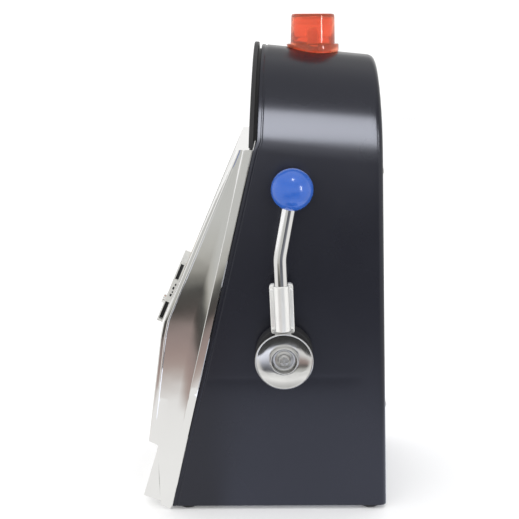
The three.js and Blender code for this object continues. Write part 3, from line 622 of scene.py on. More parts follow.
# %% The front's outline
outline_marks = np.array([TOP, KNEE, CHIN, LIP, NOTCH, TOE])
WALL_X, CORNER_R, FRONT_SKIN = 75.85, 1.4, 1.7
CORNER_X = WALL_X - CORNER_R


def along_outline(marks, step=2.2, knee=3.0):
    """Points along the outline at an even step, with each bend cut by a short three-point round."""
    spots = [marks[0]]
    for before, here, after in zip(marks[:-2], marks[1:-1], marks[2:]):
        back, on = before - here, after - here
        back, on = back / np.linalg.norm(back), on / np.linalg.norm(on)
        reach = knee if np.dot(back, on) < -0.5 else 0.5
        spots += [here + back * reach, here + (back + on) * reach * 0.22, here + on * reach]
    spots.append(marks[-1])
    spots = np.array(spots)
    length = np.concatenate([[0], np.cumsum(np.linalg.norm(np.diff(spots, axis=0), axis=1))])
    extra = np.arange(0, length[-1], step)
    places = np.unique(np.concatenate([length, extra]).round(3))
    keep = np.concatenate([[True], np.diff(places) > 0.12])
    places = places[keep]
    return np.stack([np.interp(places, length, spots[:, k]) for k in (0, 1)], axis=1), places


def z_of_slope(up):
    """Height on the machine of a place on the slope face, given its height in the face's own
    frame."""
    return float(on_slope(np.array([[0, 0, up]], float))[0, 2])


def z_of_belly(up):
    """The same for a place on the belly face."""
    return float(on_belly(np.array([[0, 0, up]], float))[0, 2])


row_heights = ([z_of_slope(v) for v in (-24, -80, -92, -134, -102, -133)]
               + [z_of_belly(v) for v in (-12, -74)])
row_heights += [52.5, 8.5]
front_rows, row_places = along_outline(outline_marks)
added = np.interp(-np.array(row_heights), -front_rows[:, 1], row_places)
row_places = np.unique(np.concatenate([row_places, added]).round(3))
row_places = row_places[np.concatenate([[True], np.diff(row_places) > 0.05])]
marks_rows, marks_places = along_outline(outline_marks)
front_rows = np.stack([np.interp(row_places, marks_places, marks_rows[:, k]) for k in (0, 1)], axis=1)
print("front rows:", len(front_rows))

# %% The front's surface
WINDOW = (-55, 55, z_of_slope(-80), z_of_slope(-24))
BELLY_WINDOW = (-58, 58, z_of_belly(-74), z_of_belly(-12))
MOUTH = (-53, 53, 8.5, 52.5)
CARD = (-62, 8, z_of_slope(-134), z_of_slope(-92))
COIN_WAY = (28.5, 36.5, z_of_slope(-133), z_of_slope(-102))
front_x = np.array(sorted({-CORNER_X, -72, -62, -58, -55, -53, 8, 28.5, 36.5, 53, 55, 58, 72, CORNER_X,
                           *np.linspace(-48, 48, 13)}), float)


def ease(value, low, high):
    """From 0 at low to 1 at high, with soft ends: 3 t t - 2 t t t."""
    t = np.clip((value - low) / (high - low), 0, 1)
    return t * t * (3 - 2 * t)


def seam_point(rows):
    """Where each row of a side wall meets the cabinet: straight back to the cabinet's edge at the
    same height."""
    return np.stack([front_edge(np.minimum(rows[:, 1], 285.5)) - 0.3, rows[:, 1]], axis=1)


def front_grid():
    """Rows down the outline, columns across. A side wall's column is a place between the outline
    and the seam, given as a distance from one of them, with a step out or in of the wall. The steps
    fade out towards the foot, where the wall is plain."""
    seam = seam_point(front_rows)
    deep = seam[:, 0] - front_rows[:, 0]
    fade_low = ease(front_rows[:, 1], 60, 106)
    flange_on = ease(front_rows[:, 1], 94, 102)
    border_on = ease(front_rows[:, 1], 98, 108)
    columns = []
    reach = np.minimum(1, deep / 13.5)
    wall_steps = [("seam", 0.0, 0.0), ("seam", 0.5, 0.55), ("seam", 5.2, 0.55), ("seam", 5.9, 0.5),
                  ("seam", 6.2, -0.35), ("seam", 6.6, -0.5), ("middle", 0.35, -0.5),
                  ("middle", 0.65, -0.5), ("front", 4.6, -0.5), ("front", 4.3, -0.35),
                  ("front", 4.0, 0.5), ("front", 3.4, 0.5), ("front", 2.9, 0.1),
                  ("front", 1.4, 0.0)]
    for kind, distance, step in wall_steps:
        if kind == "seam":
            y = seam[:, 0] - distance * reach
            out = np.where(step > 0, step * flange_on, step * fade_low)
        elif kind == "front":
            y = front_rows[:, 0] + distance * reach
            out = np.where(step > 0, step * border_on, step * fade_low)
        else:
            y = ((seam[:, 0] - 6.6 * reach) * (1 - distance)
                 + (front_rows[:, 0] + 4.6 * reach) * distance)
            out = step * fade_low
        columns.append(np.stack([-(WALL_X + out), y, front_rows[:, 1]], axis=1))
    for t in np.radians([22, 45, 68]):
        columns.append(np.stack([np.full(len(front_rows), -(CORNER_X + CORNER_R * math.cos(t))),
                                 front_rows[:, 0] + CORNER_R * (1 - math.sin(t)) * reach,
                                 front_rows[:, 1]], axis=1))
    left = np.stack(columns, axis=1)
    face = np.stack([np.stack([np.full(len(front_rows), x), front_rows[:, 0], front_rows[:, 1]], axis=1)
                     for x in front_x], axis=1)
    right = left[:, ::-1] * np.array([-1, 1, 1])
    return np.concatenate([left, face, right], axis=1), len(columns)


front, first_face = front_grid()
cell = (front[1:, 1:] + front[:-1, :-1]) / 2
on_face = np.zeros(cell.shape[:2], bool)
on_face[:, first_face - 1:front.shape[1] - first_face] = True
closed = np.ones(cell.shape[:2], bool)
for left, right, low, high in (WINDOW, BELLY_WINDOW, MOUTH, CARD, COIN_WAY):
    closed &= ~(on_face & (cell[..., 0] > left) & (cell[..., 0] < right) & (cell[..., 2] > low)
                & (cell[..., 2] < high))
front_shape = Shape().add_grid(front, keep=closed)
front_shape.add(front[0], [cap(0, front.shape[1])])
toe_row = front[-1]
toe_back = toe_row.copy()
toe_back[:, 1], toe_back[:, 2] = -74.9, 0.5
front_shape.add_grid(np.stack([toe_row, toe_back]))
bezel = piece("plated_front", front_shape, plated, stands_for="front_bezel", smooth=22, weld=2e-5,
              outward=False)
bezel_wall = bezel.modifiers.new("wall thickness", "SOLIDIFY")
bezel_wall.thickness, bezel_wall.offset = FRONT_SKIN * MM, -1
rounded(bezel, 0.35, 2, 40)

# %% [markdown]
# ## The payout tray and coin head
# The tray is plated and the coin head is frosted silver. Their frame parts already have the right
# form, so each is a welded copy with its flat faces merged and its edges rolled over. The coin head
# gets small raised marks below its slot, and black sheets in the slot and in the recess under it,
# which are painted shade for the shadow inside them.

# %% Tray and coin head
softened("payout_tray", "payout_scoop", plated, width=0.7, segments=3)
softened("coin_head", "coin_head_block", frosted, width=0.45, segments=3)
softened("return_button", "coin_return_button", plated, "return_button", width=0.6, segments=3)
marks = Shape()
for i, (low, tall) in enumerate(((-118.2, 1.6), (-121.4, 2.2), (-124.6, 1.2), (-127.4, 2.0))):
    one = slab(rounded_outline(1.0 + 0.3 * (i % 2), tall, 0.4), 49.9, 50.35, 0.12, plane="yz")
    marks = merged(marks, one.moved(lambda p, z=low: p + np.array([0, -2.8 + 0.5 * (z % 2), z])))
# Painted shade: black sheets set in the slot and in the recess under it stand for the shadow inside
# them.
shade_sheets = [slab(rounded_outline(2.5, 12.8, 0.3), 48.6, 49.0, 0.1,
               plane="yz").moved(lambda p: p + [0, -2.8, -107.5]),
          slab(rounded_outline(2.9, 14.9, 0.3), 45.6, 46.0, 0.1,
               plane="yz").moved(lambda p: p + [0, -2.7, -141.05])]
piece("coin_head_marks_and_painted_shade", merged(marks, *shade_sheets).moved(on_slope), black_ink, smooth=30)

# %% [markdown]
# ## The lever
# The lever is a chromed dish on the end of a shaft, a socket plate with corner rivets, a bent
# chromed rod and a ball. The dish is turned: a thin rolled rim, a shallow cone and a raised collar
# round the screw. The rod runs straight up from the socket and then bends back a little more than
# twelve degrees.

# %% Boss, dish, socket, rod and ball
boss_foot = half_width(LEVER_Y) - 0.5
boss_profile = [(8.1, boss_foot), (21.6, boss_foot), (21.6, 80.6), *arc((20.4, 82.8), 1.2, 0, 90),
                (8.1, 84.0)]
piece("lever_boss_disc",
      turned(boss_profile + boss_profile[:1], 96, "x").moved(lambda p: p + [0, LEVER_Y, LEVER_Z]),
      dark_matt, stands_for="lever_boss", smooth=40)

dish = [(5.8, 81.0), (15.2, 81.0), *arc((15.2, 81.8), 0.8, -90, 0, 4), (16.0, 88.3), (19.2, 91.0),
        *arc((20.95, 93.55), 0.62, -60, 90, 7), (20.2, 93.9), (19.5, 93.3), (15.6, 92.1),
        (11.9, 91.0), (11.0, 90.9), (10.6, 91.3), (10.4, 93.3),
        *arc((9.85, 93.45), 0.55, 0, 180, 7), (9.0, 93.0), (8.5, 92.2), (8.1, 91.2), (8.0, 89.6),
        (2.4, 89.5), (2.4, 88.3), (5.8, 88.3)]
piece("lever_dish", turned(dish + dish[:1], 112, "x").moved(on_lever), worn_chrome, "lever",
      "lever_hub", smooth=40)
washer = [(2.3, 89.75), (6.6, 89.75), *arc((6.6, 90.1), 0.35, -90, 90, 4), (2.3, 90.45)]
piece("lever_washer", turned(washer + washer[:1], 64, "x").moved(on_lever), zinc, "lever",
      "hub_washer", smooth=40)
softened("hub_screw", "lever_screw", zinc, "lever", width=0.25)

ROD_X, ROD_R, BALL_R = 88.0, 5.2, 15.2
socket = slab(rounded_outline(17.4, 38, 2.2), 82.6, 87.4, 0.7,
              plane="yz").moved(lambda p: p + np.array([0, 0, 38.6]))
tongue = slab(rounded_outline(12, 12, 1.0), 82.5, 87.1, 0.4,
              plane="yz").moved(lambda p: p + np.array([0, 0, 18]))
sleeve_profile = [(5.35, 22.8), (6.2, 22.8), (6.2, 56.2), *arc((5.8, 56.6), 0.4, 0, 90, 4),
                  (5.35, 57.0)]
sleeve = turned(sleeve_profile + sleeve_profile[:1], 48, "z").moved(lambda p: p + [ROD_X, 0, 0])
rivets = [turned([(1.25, 87.2), (1.25, 87.7), (1.05, 88.0), (0.6, 88.2), (0.0, 88.25)], 20, "x").moved(
    lambda p, y=y, z=z: p + [0, y, z]) for y in (-7.0, 7.0) for z in (23.6, 53.6)]
piece("lever_saddle", merged(socket, tongue, sleeve, *rivets).moved(on_lever), satin_steel, "lever",
      "lever_socket", smooth=40)

KINK, BEND, UPPER = 77.5, math.radians(12.35), 50.6
EASE_IN, EASE_OUT = 4, 4.2
straight = np.linspace(26.5, KINK - EASE_IN, 14)
turn = np.linspace(0, 1, 12)[1:-1]
lower = np.stack([0 * straight, straight], axis=1)
corner = np.stack([turn ** 2 * EASE_OUT * math.sin(BEND),
                   KINK - (1 - turn) ** 2 * EASE_IN + turn ** 2 * EASE_OUT * math.cos(BEND)], axis=1)
beyond = np.linspace(EASE_OUT, UPPER - 6, 12)
upper = np.stack([beyond * math.sin(BEND), KINK + beyond * math.cos(BEND)], axis=1)
rod = np.concatenate([lower, corner, upper])
rod = np.stack([np.full(len(rod), ROD_X), rod[:, 0], rod[:, 1]], axis=1)
piece("lever_rod", bar(rod, ROD_R, 48).moved(on_lever), chromed, "lever", "lever_arm", smooth=50)

ball_profile = [(5.5, -14.0), (5.6, -14.15), *arc((0, 0), BALL_R, -67.5, 90, 40)]
ball_profile[-1] = (0.0, BALL_R)
neck = [(5.5, -14.0), (5.5, -6.0), (0.0, -6.0)]
ball = turned(neck[::-1] + ball_profile, 72, "z")
lean = leaning(UPPER * math.sin(BEND), KINK + UPPER * math.cos(BEND), -BEND, x=ROD_X)
piece("lever_ball", ball.moved(lean).moved(on_lever), blue_gloss, "lever", "lever_knob", smooth=60)

# %% [markdown]
# ## The beacon
# The beacon is a clear red cap with a flange whose lower edge follows the sloping arch of the roof.
# It is turned like the other round parts, and then the flange's lowest points are dropped onto the
# roof. An amber lamp post shows dimly through it, so the cap needs a real wall: an outer and an
# inner surface.


# %% Beacon cap and lamp
BEACON_Y = 37.0


def roof_height(x, y):
    """Height of the roof: the half ellipse over the spring line at that depth."""
    spring, top = spring_line(y), crest(y)
    return spring + (top - spring) * np.sqrt(np.clip(1 - (x / half_width(y)) ** 2, 0, 1))


def drop_to_roof(p):
    """Moves the cap over its place. Points of the flange's foot, marked by a height below 1, go to
    just above the roof there."""
    low = p[:, 2] < 1
    p = p.copy()
    y = p[:, 1] + BEACON_Y
    p[low, 2] = (roof_height(p[:, 0], y) + 0.35 + p[:, 2])[low]
    p[:, 1] = y
    return p


cap_profile = [(0, 379.2), (12.5, 379.2), (14.4, 378.4), (15.0, 376.4), (15.3, 359.6),
               (15.0, 359.0), (14.7, 352.5), (13.3, 352.5), (13.3, 350.6), (15.2, 350.6),
               (15.4, 0.0), (20.1, 0.0), (20.2, 0.35), (20.2, 358.0), (20.0, 358.35), (19.6, 358.5),
               (17.8, 358.6), (17.35, 358.8), (17.2, 359.3), (16.75, 378.4), (16.65, 379.4),
               (16.35, 380.3), (15.7, 380.85), (14.8, 381.0), (0, 381.0)]
piece("beacon_cap", turned(cap_profile, 96, "z").moved(drop_to_roof), red_glow,
      stands_for="beacon_lens", smooth=35)
lamp_profile = [(0, 345.9), (6, 345.9), (6, 349), (4.4, 349.6), (4.3, 364.5),
                *arc((0, 366.5), 4.3, -5, 90, 8)]
lamp_profile[-1] = (0.0, 370.8)
piece("beacon_post", turned(lamp_profile, 40, "z").moved(lambda p: p + [0, BEACON_Y, 0]), warm_lamp,
      stands_for="beacon_lamp", smooth=50)

# %% [markdown]
# ## Feet, screws and the back
# The rubber feet are low turned domes. The back has two lift-open covers with finger tabs, each a
# rounded slab with a few grip ribs, and the cross-head screws that hold the case.

# %% Feet, covers and small parts
feet = {"front_left": (-66.3, -60.8), "front_right": (66.3, -60.8), "back_left": (-63.4, 83.8),
        "back_right": (63.4, 83.8)}
foot_profile = [(0, 0), (5.6, 0), (6.5, 0.25), (7.0, 0.8), (7.2, 1.5), (7.2, 2.7), (2.3, 2.7),
                (2.3, 5), (0, 5)]
for where, (x, y) in feet.items():
    piece(f"rubber_foot_{where}",
          turned(foot_profile, 40, "z").moved(lambda p, x=x, y=y: p + [x, y, 0]), rubber,
          stands_for=f"foot_{where}", smooth=40)


def back_cover(name, node, body, half, low, high):
    """A flat cover in the back wall with a raised border and grip ribs under its tab."""
    tall = high - low - 1.1
    middle = (low + 0.8 + high - 0.3) / 2
    panel = slab(rounded_outline(2 * half - 0.6, tall, 0.8, 3), -2.5, 0.0, 0.35)
    panel.moved(lambda p: p + [0, 0, middle])
    tab = slab(rounded_outline(14, 2.4, 0.8, 4), -0.8, 1.6, 0.45)
    tab.moved(lambda p: p + [0, 0, high - 3.8])
    ribs = [slab(rounded_outline(12 - 1.6 * k, 0.7, 0.3, 3), -0.4, 0.45, 0.15).moved(
        lambda p, k=k: p + [0, 0, high - 7 - 1.7 * k]) for k in range(4)]
    border = [slab(rounded_outline(w, t, 0.3, 3), -0.4, 0.3, 0.12).moved(
        lambda p, x=x, z=z: p + [x, 0, z])
              for w, t, x, z in ((2 * half - 9, 0.7, 0, low + 5),
                                 (2 * half - 9, 0.7, 0, high - 14.5),
                                 (0.7, high - low - 19.5, -half + 4.8, (low + high - 9.5) / 2),
                                 (0.7, high - low - 19.5, half - 4.8, (low + high - 9.5) / 2))]
    piece(name, merged(panel, tab, *ribs, *border).moved(on_back), black_case, body, node, smooth=40)


back_cover("coin_door_cover", "coin_door", "coin_door", *COIN_DOOR)
back_cover("battery_cover", "battery_door", "battery_door", *BATTERY_DOOR)
for where in ("lower_left", "lower_right", "upper_left", "upper_right"):
    softened(f"case_screw_{where}", f"back_screw_{where}", zinc, width=0.2)
softened("power_switch", "slide_switch", white_plastic, "power_switch", width=0.3)

# %% [markdown]
# ## The front's prints and reels
# The reels carry picture symbols: simple outlines laid on the strip. A flat outline becomes a
# curved decal by taking its height as an angle round the drum, z = R sin(b / R). The pay card
# repeats the same symbols with rows of coins.


# %% Symbols
def star_shape(points=5, outer=1.0, inner=0.42):
    """A star's outline, its points at the outer radius and its notches at the inner one."""
    t = np.arange(points * 2) * math.pi / points + math.pi / 2
    r = np.where(np.arange(points * 2) % 2, inner, outer)
    return np.stack([r * np.cos(t), r * np.sin(t)], axis=1)


def disc_shape(x=0.0, z=0.0, r=1.0, steps=24, squash=1.0):
    """A round outline, flattened in height by squash."""
    t = np.linspace(0, 2 * math.pi, steps, endpoint=False)
    return np.stack([x + r * np.cos(t), z + r * squash * np.sin(t)], axis=1)


seven_shape = np.array([(-0.75, 0.95), (0.8, 0.95), (0.8, 0.6), (0.1, -0.95), (-0.42, -0.95),
                        (0.22, 0.52), (-0.5, 0.5), (-0.5, 0.3), (-0.75, 0.3)])[::-1]
gem_shape = np.array([(0, -0.95), (0.85, 0.25), (0.5, 0.75), (-0.5, 0.75), (-0.85, 0.25)])
bell_shape = np.array([(-0.9, -0.55), (0.9, -0.55), (0.62, -0.3), (0.52, 0.35), (0.25, 0.72),
                       (0, 0.85), (-0.25, 0.72), (-0.52, 0.35), (-0.62, -0.3)])
leaf_shape = np.array([(0.0, 0.35), (0.35, 0.45), (0.75, 0.85), (0.25, 0.9), (-0.1, 0.6)])
symbols = {
    "seven": [(seven_shape, 1)],
    "bell": [(bell_shape, 2), (disc_shape(0, -0.72, 0.2, 14), 4)],
    "cherry": [(disc_shape(-0.42, -0.42, 0.42), 1), (disc_shape(0.42, -0.5, 0.42), 1), (leaf_shape, 3),
               (np.array([(-0.45, -0.1), (-0.35, -0.1), (0.05, 0.5), (-0.02, 0.55)]), 3),
               (np.array([(0.36, -0.15), (0.46, -0.15), (0.12, 0.5), (0.02, 0.5)]), 3)],
    "bars": [(np.array([(-0.9, z), (0.9, z), (0.9, z + 0.38), (-0.9, z + 0.38)]), 4)
             for z in (-0.75, -0.19, 0.37)],
    "star": [(star_shape(), 2)],
    "plum": [(disc_shape(0, -0.1, 0.72, 28, 0.95), 5),
             (np.array([(-0.05, 0.5), (0.08, 0.5), (0.3, 0.95), (0.2, 0.98)]), 3)],
}
inks = [ivory_strip, red_ink, gold_ink, green_ink, black_ink, violet_ink]


def flat_symbol(name, x, z, size, lift):
    """A symbol as thin flat shapes in a face's own frame, lifted off it by lift."""
    found = []
    for outline, ink in symbols[name]:
        flat = outline * size + [x, z]
        ring = np.stack([flat[:, 0], np.full(len(flat), -lift - 0.01 * ink), flat[:, 1]], axis=1)
        found.append((ring, ink))
    return found


def add_rings(shape, rings, tags):
    """Each ring becomes one many-sided face, and its ink number is kept for the material."""
    for ring, ink in rings:
        shape.add(ring, [cap(0, len(ring))])
        tags.append(ink)


REEL_Y, REEL_Z, REEL_R, REEL_PITCH = -1.5, 221.1, 36.0, 36
STAR_OUTER, STAR_INNER, STAR_FROM, STAR_TO = 14.0, 11.2, 16.2, 18.8
SYMBOL_WIDE, SYMBOL_TALL, FIRST_STOP = 9.5, 7.4, math.pi - 0.4027
strip_order = ["seven", "plum", "bars", "cherry", "bell", "star"] * 2


def with_more_points(outline):
    """Three more points on every edge of a coarse outline, so that it can follow a curve. A fine
    one stays."""
    if len(outline) >= 12:
        return outline
    ahead = np.roll(outline, -1, axis=0) - outline
    parts = np.linspace(0, 1, 5)[:-1]
    return (outline[:, None] + ahead[:, None] * parts[None, :, None]).reshape(-1, 2)


def reel_strip(k, x):
    """A reel: rim, web and hub as one turned part, its twelve-point star wheel, and its twelve
    symbols, each curved round the drum."""
    drum_profile = [(3.4, -15.5), (6, -15.5), (6, -1), (34.3, -1), (34.3, -15.3), (34.6, -15.5),
                    (35.6, -15.5), (36, -15.2), (36, 15.2), (35.6, 15.5), (34.6, 15.5),
                    (34.3, 15.3), (34.3, 1), (6, 1), (6, 16.5), (3.4, 16.5)]
    drum = turned(drum_profile + drum_profile[:1], 96, "x")
    t = np.linspace(0, 2 * math.pi, 24, endpoint=False)
    bore, rim = np.full(24, 3.4), np.where(np.arange(24) % 2, STAR_INNER, STAR_OUTER)
    wheel = [(bore, STAR_FROM), (rim, STAR_FROM), (rim, STAR_TO), (bore, STAR_TO)]
    wheel = np.stack([np.stack([0 * t + place, r * np.cos(t), r * np.sin(t)], axis=1)
                      for r, place in wheel])
    drum = merged(drum, Shape().add_grid(wheel, wrap_rows=True, wrap_columns=True))
    holder, tags = Shape(), []
    for stop in range(12):
        middle = FIRST_STOP + stop * math.pi / 6
        for outline, ink in symbols[strip_order[(stop + 2 * k) % 12]]:
            flat = with_more_points(outline)
            turn = middle - flat[:, 1] * SYMBOL_TALL / REEL_R
            radius = REEL_R + 0.05 + 0.01 * ink
            ring = np.stack([flat[:, 0] * SYMBOL_WIDE, radius * np.cos(turn),
                             radius * np.sin(turn)], axis=1)
            add_rings(holder, [(ring, ink)], tags)
    drum_faces = len(drum.faces)
    both = merged(drum, holder).moved(lambda p: p + [x, REEL_Y, REEL_Z])
    return both, drum_faces, tags


def inked(made, plain_faces, tags):
    """Gives the faces after the plain ones the material slot of their ink."""
    slots = np.zeros(len(made.data.polygons), dtype=np.int32)
    slots[plain_faces:plain_faces + len(tags)] = tags
    made.data.polygons.foreach_set("material_index", slots)
    made.data.update()


for k, name in enumerate(("left", "centre", "right")):
    strip, plain_faces, tags = reel_strip(k, REEL_PITCH * (k - 1))
    made = piece(f"reel_drum_{name}", strip, inks, f"reel_{name}", f"reel_{name}", smooth=35,
                 weld=1e-7, outward=False)
    inked(made, plain_faces, tags)
print("symbols on a strip:", len(strip_order))

# %% [markdown]
# The pay card lists each winning picture with the coins it pays, and the panel below carries a
# burst behind a large star. Both are flat prints, so each symbol is a thin face a few hundredths of
# a millimetre off its card.

# %% Pay card and lower panel
card_low, card_high, card_left, card_right = -133.6, -92.4, -61.6, 7.6
card = slab(np.array([(card_left, card_low), (card_right, card_low), (card_right, card_high),
                      (card_left, card_high)]), 0.1, 0.9, 0.15)
card_faces, card_shape, card_tags = len(card.faces), Shape(), []
for row, (name, coins) in enumerate((("seven", 5), ("bell", 4), ("plum", 3), ("cherry", 2))):
    z = card_high - 6.2 - 9.6 * row
    for column in range(3):
        add_rings(card_shape, flat_symbol(name, card_left + 7 + 9.2 * column, z, 3.3, -0.04), card_tags)
    for coin in range(coins):
        disc = disc_shape(card_left + 38.5 + 6.4 * coin, z, 2.5)
        ring = np.stack([disc[:, 0], np.full(len(disc), 0.03), disc[:, 1]], axis=1)
        add_rings(card_shape, [(ring, 2)], card_tags)
made = piece("pay_table", merged(card, card_shape).moved(on_slope), [cream_ink, *inks[1:]],
             stands_for="pay_card", weld=1e-7, outward=False)
inked(made, card_faces, card_tags)

lower_burst = finish("lower panel print", (0.5, 0.02, 0.02), 0.36, blotch=0.05, scale=20)
rays(lower_burst, 0.10, 16, (0.02, 0.03, 0.2), (0.05, 0.09, 0.42))
panel = slab(np.array([(-62, -78), (62, -78), (62, -8), (-62, -8)]), 2.7, 4.2, 0.15)
panel_faces, panel_shape, panel_tags = len(panel.faces), Shape(), []
for x, z, size, ink in ((0, -43, 24, 2), (0, -43, 20.5, 1), (-39, -43, 11, 2), (39, -43, 11, 2)):
    star = star_shape() * size + [x, z]
    panel_shape.add(np.stack([star[:, 0], np.full(len(star), 2.66 - 0.02 * (size < 22)),
                              star[:, 1]], axis=1), [cap(0, len(star))])
    panel_tags.append(ink)
made = piece("lower_panel", merged(panel, panel_shape).moved(on_belly),
             [lower_burst, red_ink, gold_ink], stands_for="belly_panel", weld=1e-7, outward=False)
inked(made, panel_faces, panel_tags)

sign = Shape()
for x, z, size in ((0, 33, 17), (-33, 22, 11.5), (33, 22, 11.5)):
    outline = seven_shape * size
    sign = merged(sign, slab(outline, 2.95, 3.5, 0.12).moved(lambda p, x=x, z=z: p + [x, 0, z]))
piece("head_sevens", sign.moved(on_head), cream_ink, smooth=30)

# %% [markdown]
# ## The parts that stay as they are
# Everything else is working parts and liners. Their frame parts keep their shape and only get their
# finish.

# %% Finishes for the frame parts
kept = {
    "base_plate": dark_matt, "reel_mask": dark_matt, "reel_lens": clear_plastic,
    "coin_bin": white_plastic, "payout_gate": white_plastic, "coin_chute": white_plastic,
    "kicker": white_plastic, "speaker": dark_matt, "battery_tray": dark_matt,
    "battery_1": cell_can, "battery_2": cell_can, "battery_3": cell_can,
    "beacon_board": board_green, "circuit_board": board_green, "shaft_bush": brass,
    "pawl_left": brass, "pawl_centre": brass, "pawl_right": brass,
    "lever_shaft": zinc, "drive_sector": zinc, "reel_shaft": zinc, "pawl_shaft": zinc,
    "tie_rod_upper": zinc, "tie_rod_lower": zinc, "return_spring": zinc,
    "mech_plate_left": plate_steel, "mech_plate_right": plate_steel,
}
for name, material in kept.items():
    mesh = frame["nodes"][name].data
    mesh.materials.clear()
    mesh.materials.append(material)
print("frame parts kept:", len(kept))

# %% [markdown]
# ## The floor
# The machine stands on a pale floor. One large quad is enough, because nothing on it has to bend,
# and it reaches so far that its edge is out of sight.

# %% Floor
FLOOR_HALF = 15.0
floor_mesh = bpy.data.meshes.new("floor")
floor_corners = [(x * FLOOR_HALF, y * FLOOR_HALF, -0.0002)
                 for x, y in ((-1, -1), (1, -1), (1, 1), (-1, 1))]
floor_mesh.from_pydata(floor_corners, [], [[0, 1, 2, 3]])
floor = bpy.data.objects.new("floor", floor_mesh)
bpy.context.scene.collection.objects.link(floor)
floor_mesh.materials.append(finish("pale floor", (0.94, 0.94, 0.94), 0.6, blotch=0.005, scale=2))
print("floor reaches", FLOOR_HALF, "m each way")

# %% [markdown]
# ## The white room
# An even white sky gives soft light with hardly a shadow. Mirrors would look dull in it, so a ray
# that comes off a glossy surface sees another sky, whose tone changes with height as a studio's
# walls and ceiling do.

# %% White room
world = bpy.data.worlds.new("white room")
bpy.context.scene.world = world
world.use_nodes = True
sky = world.node_tree
way_up = sky.nodes.new("ShaderNodeTexCoord")
height = sky.nodes.new("ShaderNodeSeparateXYZ")
shade = sky.nodes.new("ShaderNodeValToRGB")
path = sky.nodes.new("ShaderNodeLightPath")
seen = sky.nodes.new("ShaderNodeMix")
seen.data_type = "RGBA"
sky.links.new(way_up.outputs["Generated"], height.inputs["Vector"])
sky.links.new(height.outputs["Z"], shade.inputs["Fac"])
tones = [(0.0, 0.85), (0.2, 1.05), (0.42, 0.75), (0.6, 0.6), (0.75, 0.8), (0.88, 1.0), (1.0, 0.95)]
for _ in tones[2:]:
    shade.color_ramp.elements.new(0.5)
for spot, (place, tone) in zip(shade.color_ramp.elements, tones):
    spot.position, spot.color = place, (tone, tone * 0.995, tone * 0.985, 1)
sky.links.new(path.outputs["Is Glossy Ray"], seen.inputs["Factor"])
seen.inputs["A"].default_value = (1.25, 1.25, 1.25, 1)
sky.links.new(shade.outputs["Color"], seen.inputs["B"])
sky.links.new(seen.outputs["Result"], sky.nodes["Background"].inputs["Color"])
print("tones of the mirrored sky:", len(tones))

# %% [markdown]
# ## The room that only mirrors see
# The plated side wall is seen from a little above, so it mirrors what lies low beyond the table's
# edge: a white strip near by, then something brown, something dark and a pale distance. A flat ring
# on the floor stands for all of it. Its light is worked out at each of its points and kept as a
# colour attribute, and only glossy rays can see it.


# %% Light of the mirrored room
def room_glow(x, y):
    """Light of the room beyond the table at each place: beside the bright front it goes from white
    through brown, dark and olive to pale grey with distance, beside the cabinet it falls from white
    to dark, and ahead and behind it is pale."""
    r, side = np.hypot(x, y), np.abs(x)
    reach = [0.0, 0.325, 0.36, 0.395, 0.44, 0.52, 0.56, 0.6, 0.74, 0.82, 0.89, 1.2, 3.2]
    tones = np.array([(0.92, 0.92, 0.91), (0.9, 0.89, 0.88), (0.69, 0.65, 0.63), (0.47, 0.39, 0.36),
                      (0.39, 0.3, 0.275), (0.33, 0.26, 0.245), (0.25, 0.205, 0.19),
                      (0.075, 0.065, 0.06), (0.08, 0.08, 0.075), (0.3, 0.29, 0.26),
                      (0.5, 0.49, 0.455), (0.58, 0.58, 0.56), (0.6, 0.6, 0.58)])
    by_front = np.stack([np.interp(r, reach, tones[:, k]) for k in range(3)], axis=-1)
    by_case = np.interp(r, [0.0, 0.26, 0.46, 0.65, 1.0, 2.2],
                        [1.35, 1.3, 0.6, 0.25, 0.12, 0.1])[..., None]
    by_case = by_case * np.array([0.97, 1.0, 1.12])
    front = ease(-y, 0.02, 0.045)[..., None]
    beside = by_front * front + by_case * (1 - front)
    azimuth = np.degrees(np.arctan2(np.abs(y), side))
    away = ease(azimuth, 30, 48)[..., None] * ease(r, 0.25, 0.4)[..., None]
    return beside * (1 - away) + np.array([0.86, 0.85, 0.83]) * away


print("glow beside the front at 0.3 and 0.65 m:",
      room_glow(np.array([0.3, 0.65]), np.array([-0.1, -0.1])).round(2))


# %% Ring of the mirrored room
def only_in_mirrors(made):
    """Hides a stage object from everything but glossy rays."""
    made.visible_camera = made.visible_diffuse = made.visible_shadow = made.visible_transmission = False


def reflected_room(inner=0.01, outer=3.2, rings=110, around=360):
    """A flat ring on the floor that only mirrors see: the room beyond the white table, its light
    kept as a colour at each point."""
    r, t = np.geomspace(inner, outer, rings), np.linspace(0, 2 * math.pi, around, endpoint=False)
    r, t = np.meshgrid(r, t, indexing="ij")
    x, y = r * np.cos(t), r * np.sin(t)
    mesh = bpy.data.meshes.new("reflected_room")
    mesh.from_pydata(np.stack([x, y, 0 * r + 0.0005], axis=2).reshape(-1, 3).tolist(), [],
                     quads(rings, around, wrap_columns=True).tolist())
    colours = np.concatenate([room_glow(x, y), np.ones((*x.shape, 1))], axis=2)
    mesh.color_attributes.new("glow", "FLOAT_COLOR", "POINT").data.foreach_set("color", colours.ravel())
    ring = bpy.data.objects.new("reflected_room", mesh)
    bpy.context.scene.collection.objects.link(ring)
    glow = bpy.data.materials.new("room beyond the table")
    glow.use_nodes = True
    tree = glow.node_tree
    tree.nodes.clear()
    kept_colour = tree.nodes.new("ShaderNodeAttribute")
    kept_colour.attribute_name = "glow"
    light, out = tree.nodes.new("ShaderNodeEmission"), tree.nodes.new("ShaderNodeOutputMaterial")
    tree.links.new(kept_colour.outputs["Color"], light.inputs["Color"])
    tree.links.new(light.outputs["Emission"], out.inputs["Surface"])
    mesh.materials.append(glow)
    only_in_mirrors(ring)
    return mesh


print("points of the mirrored room:", len(reflected_room().vertices))

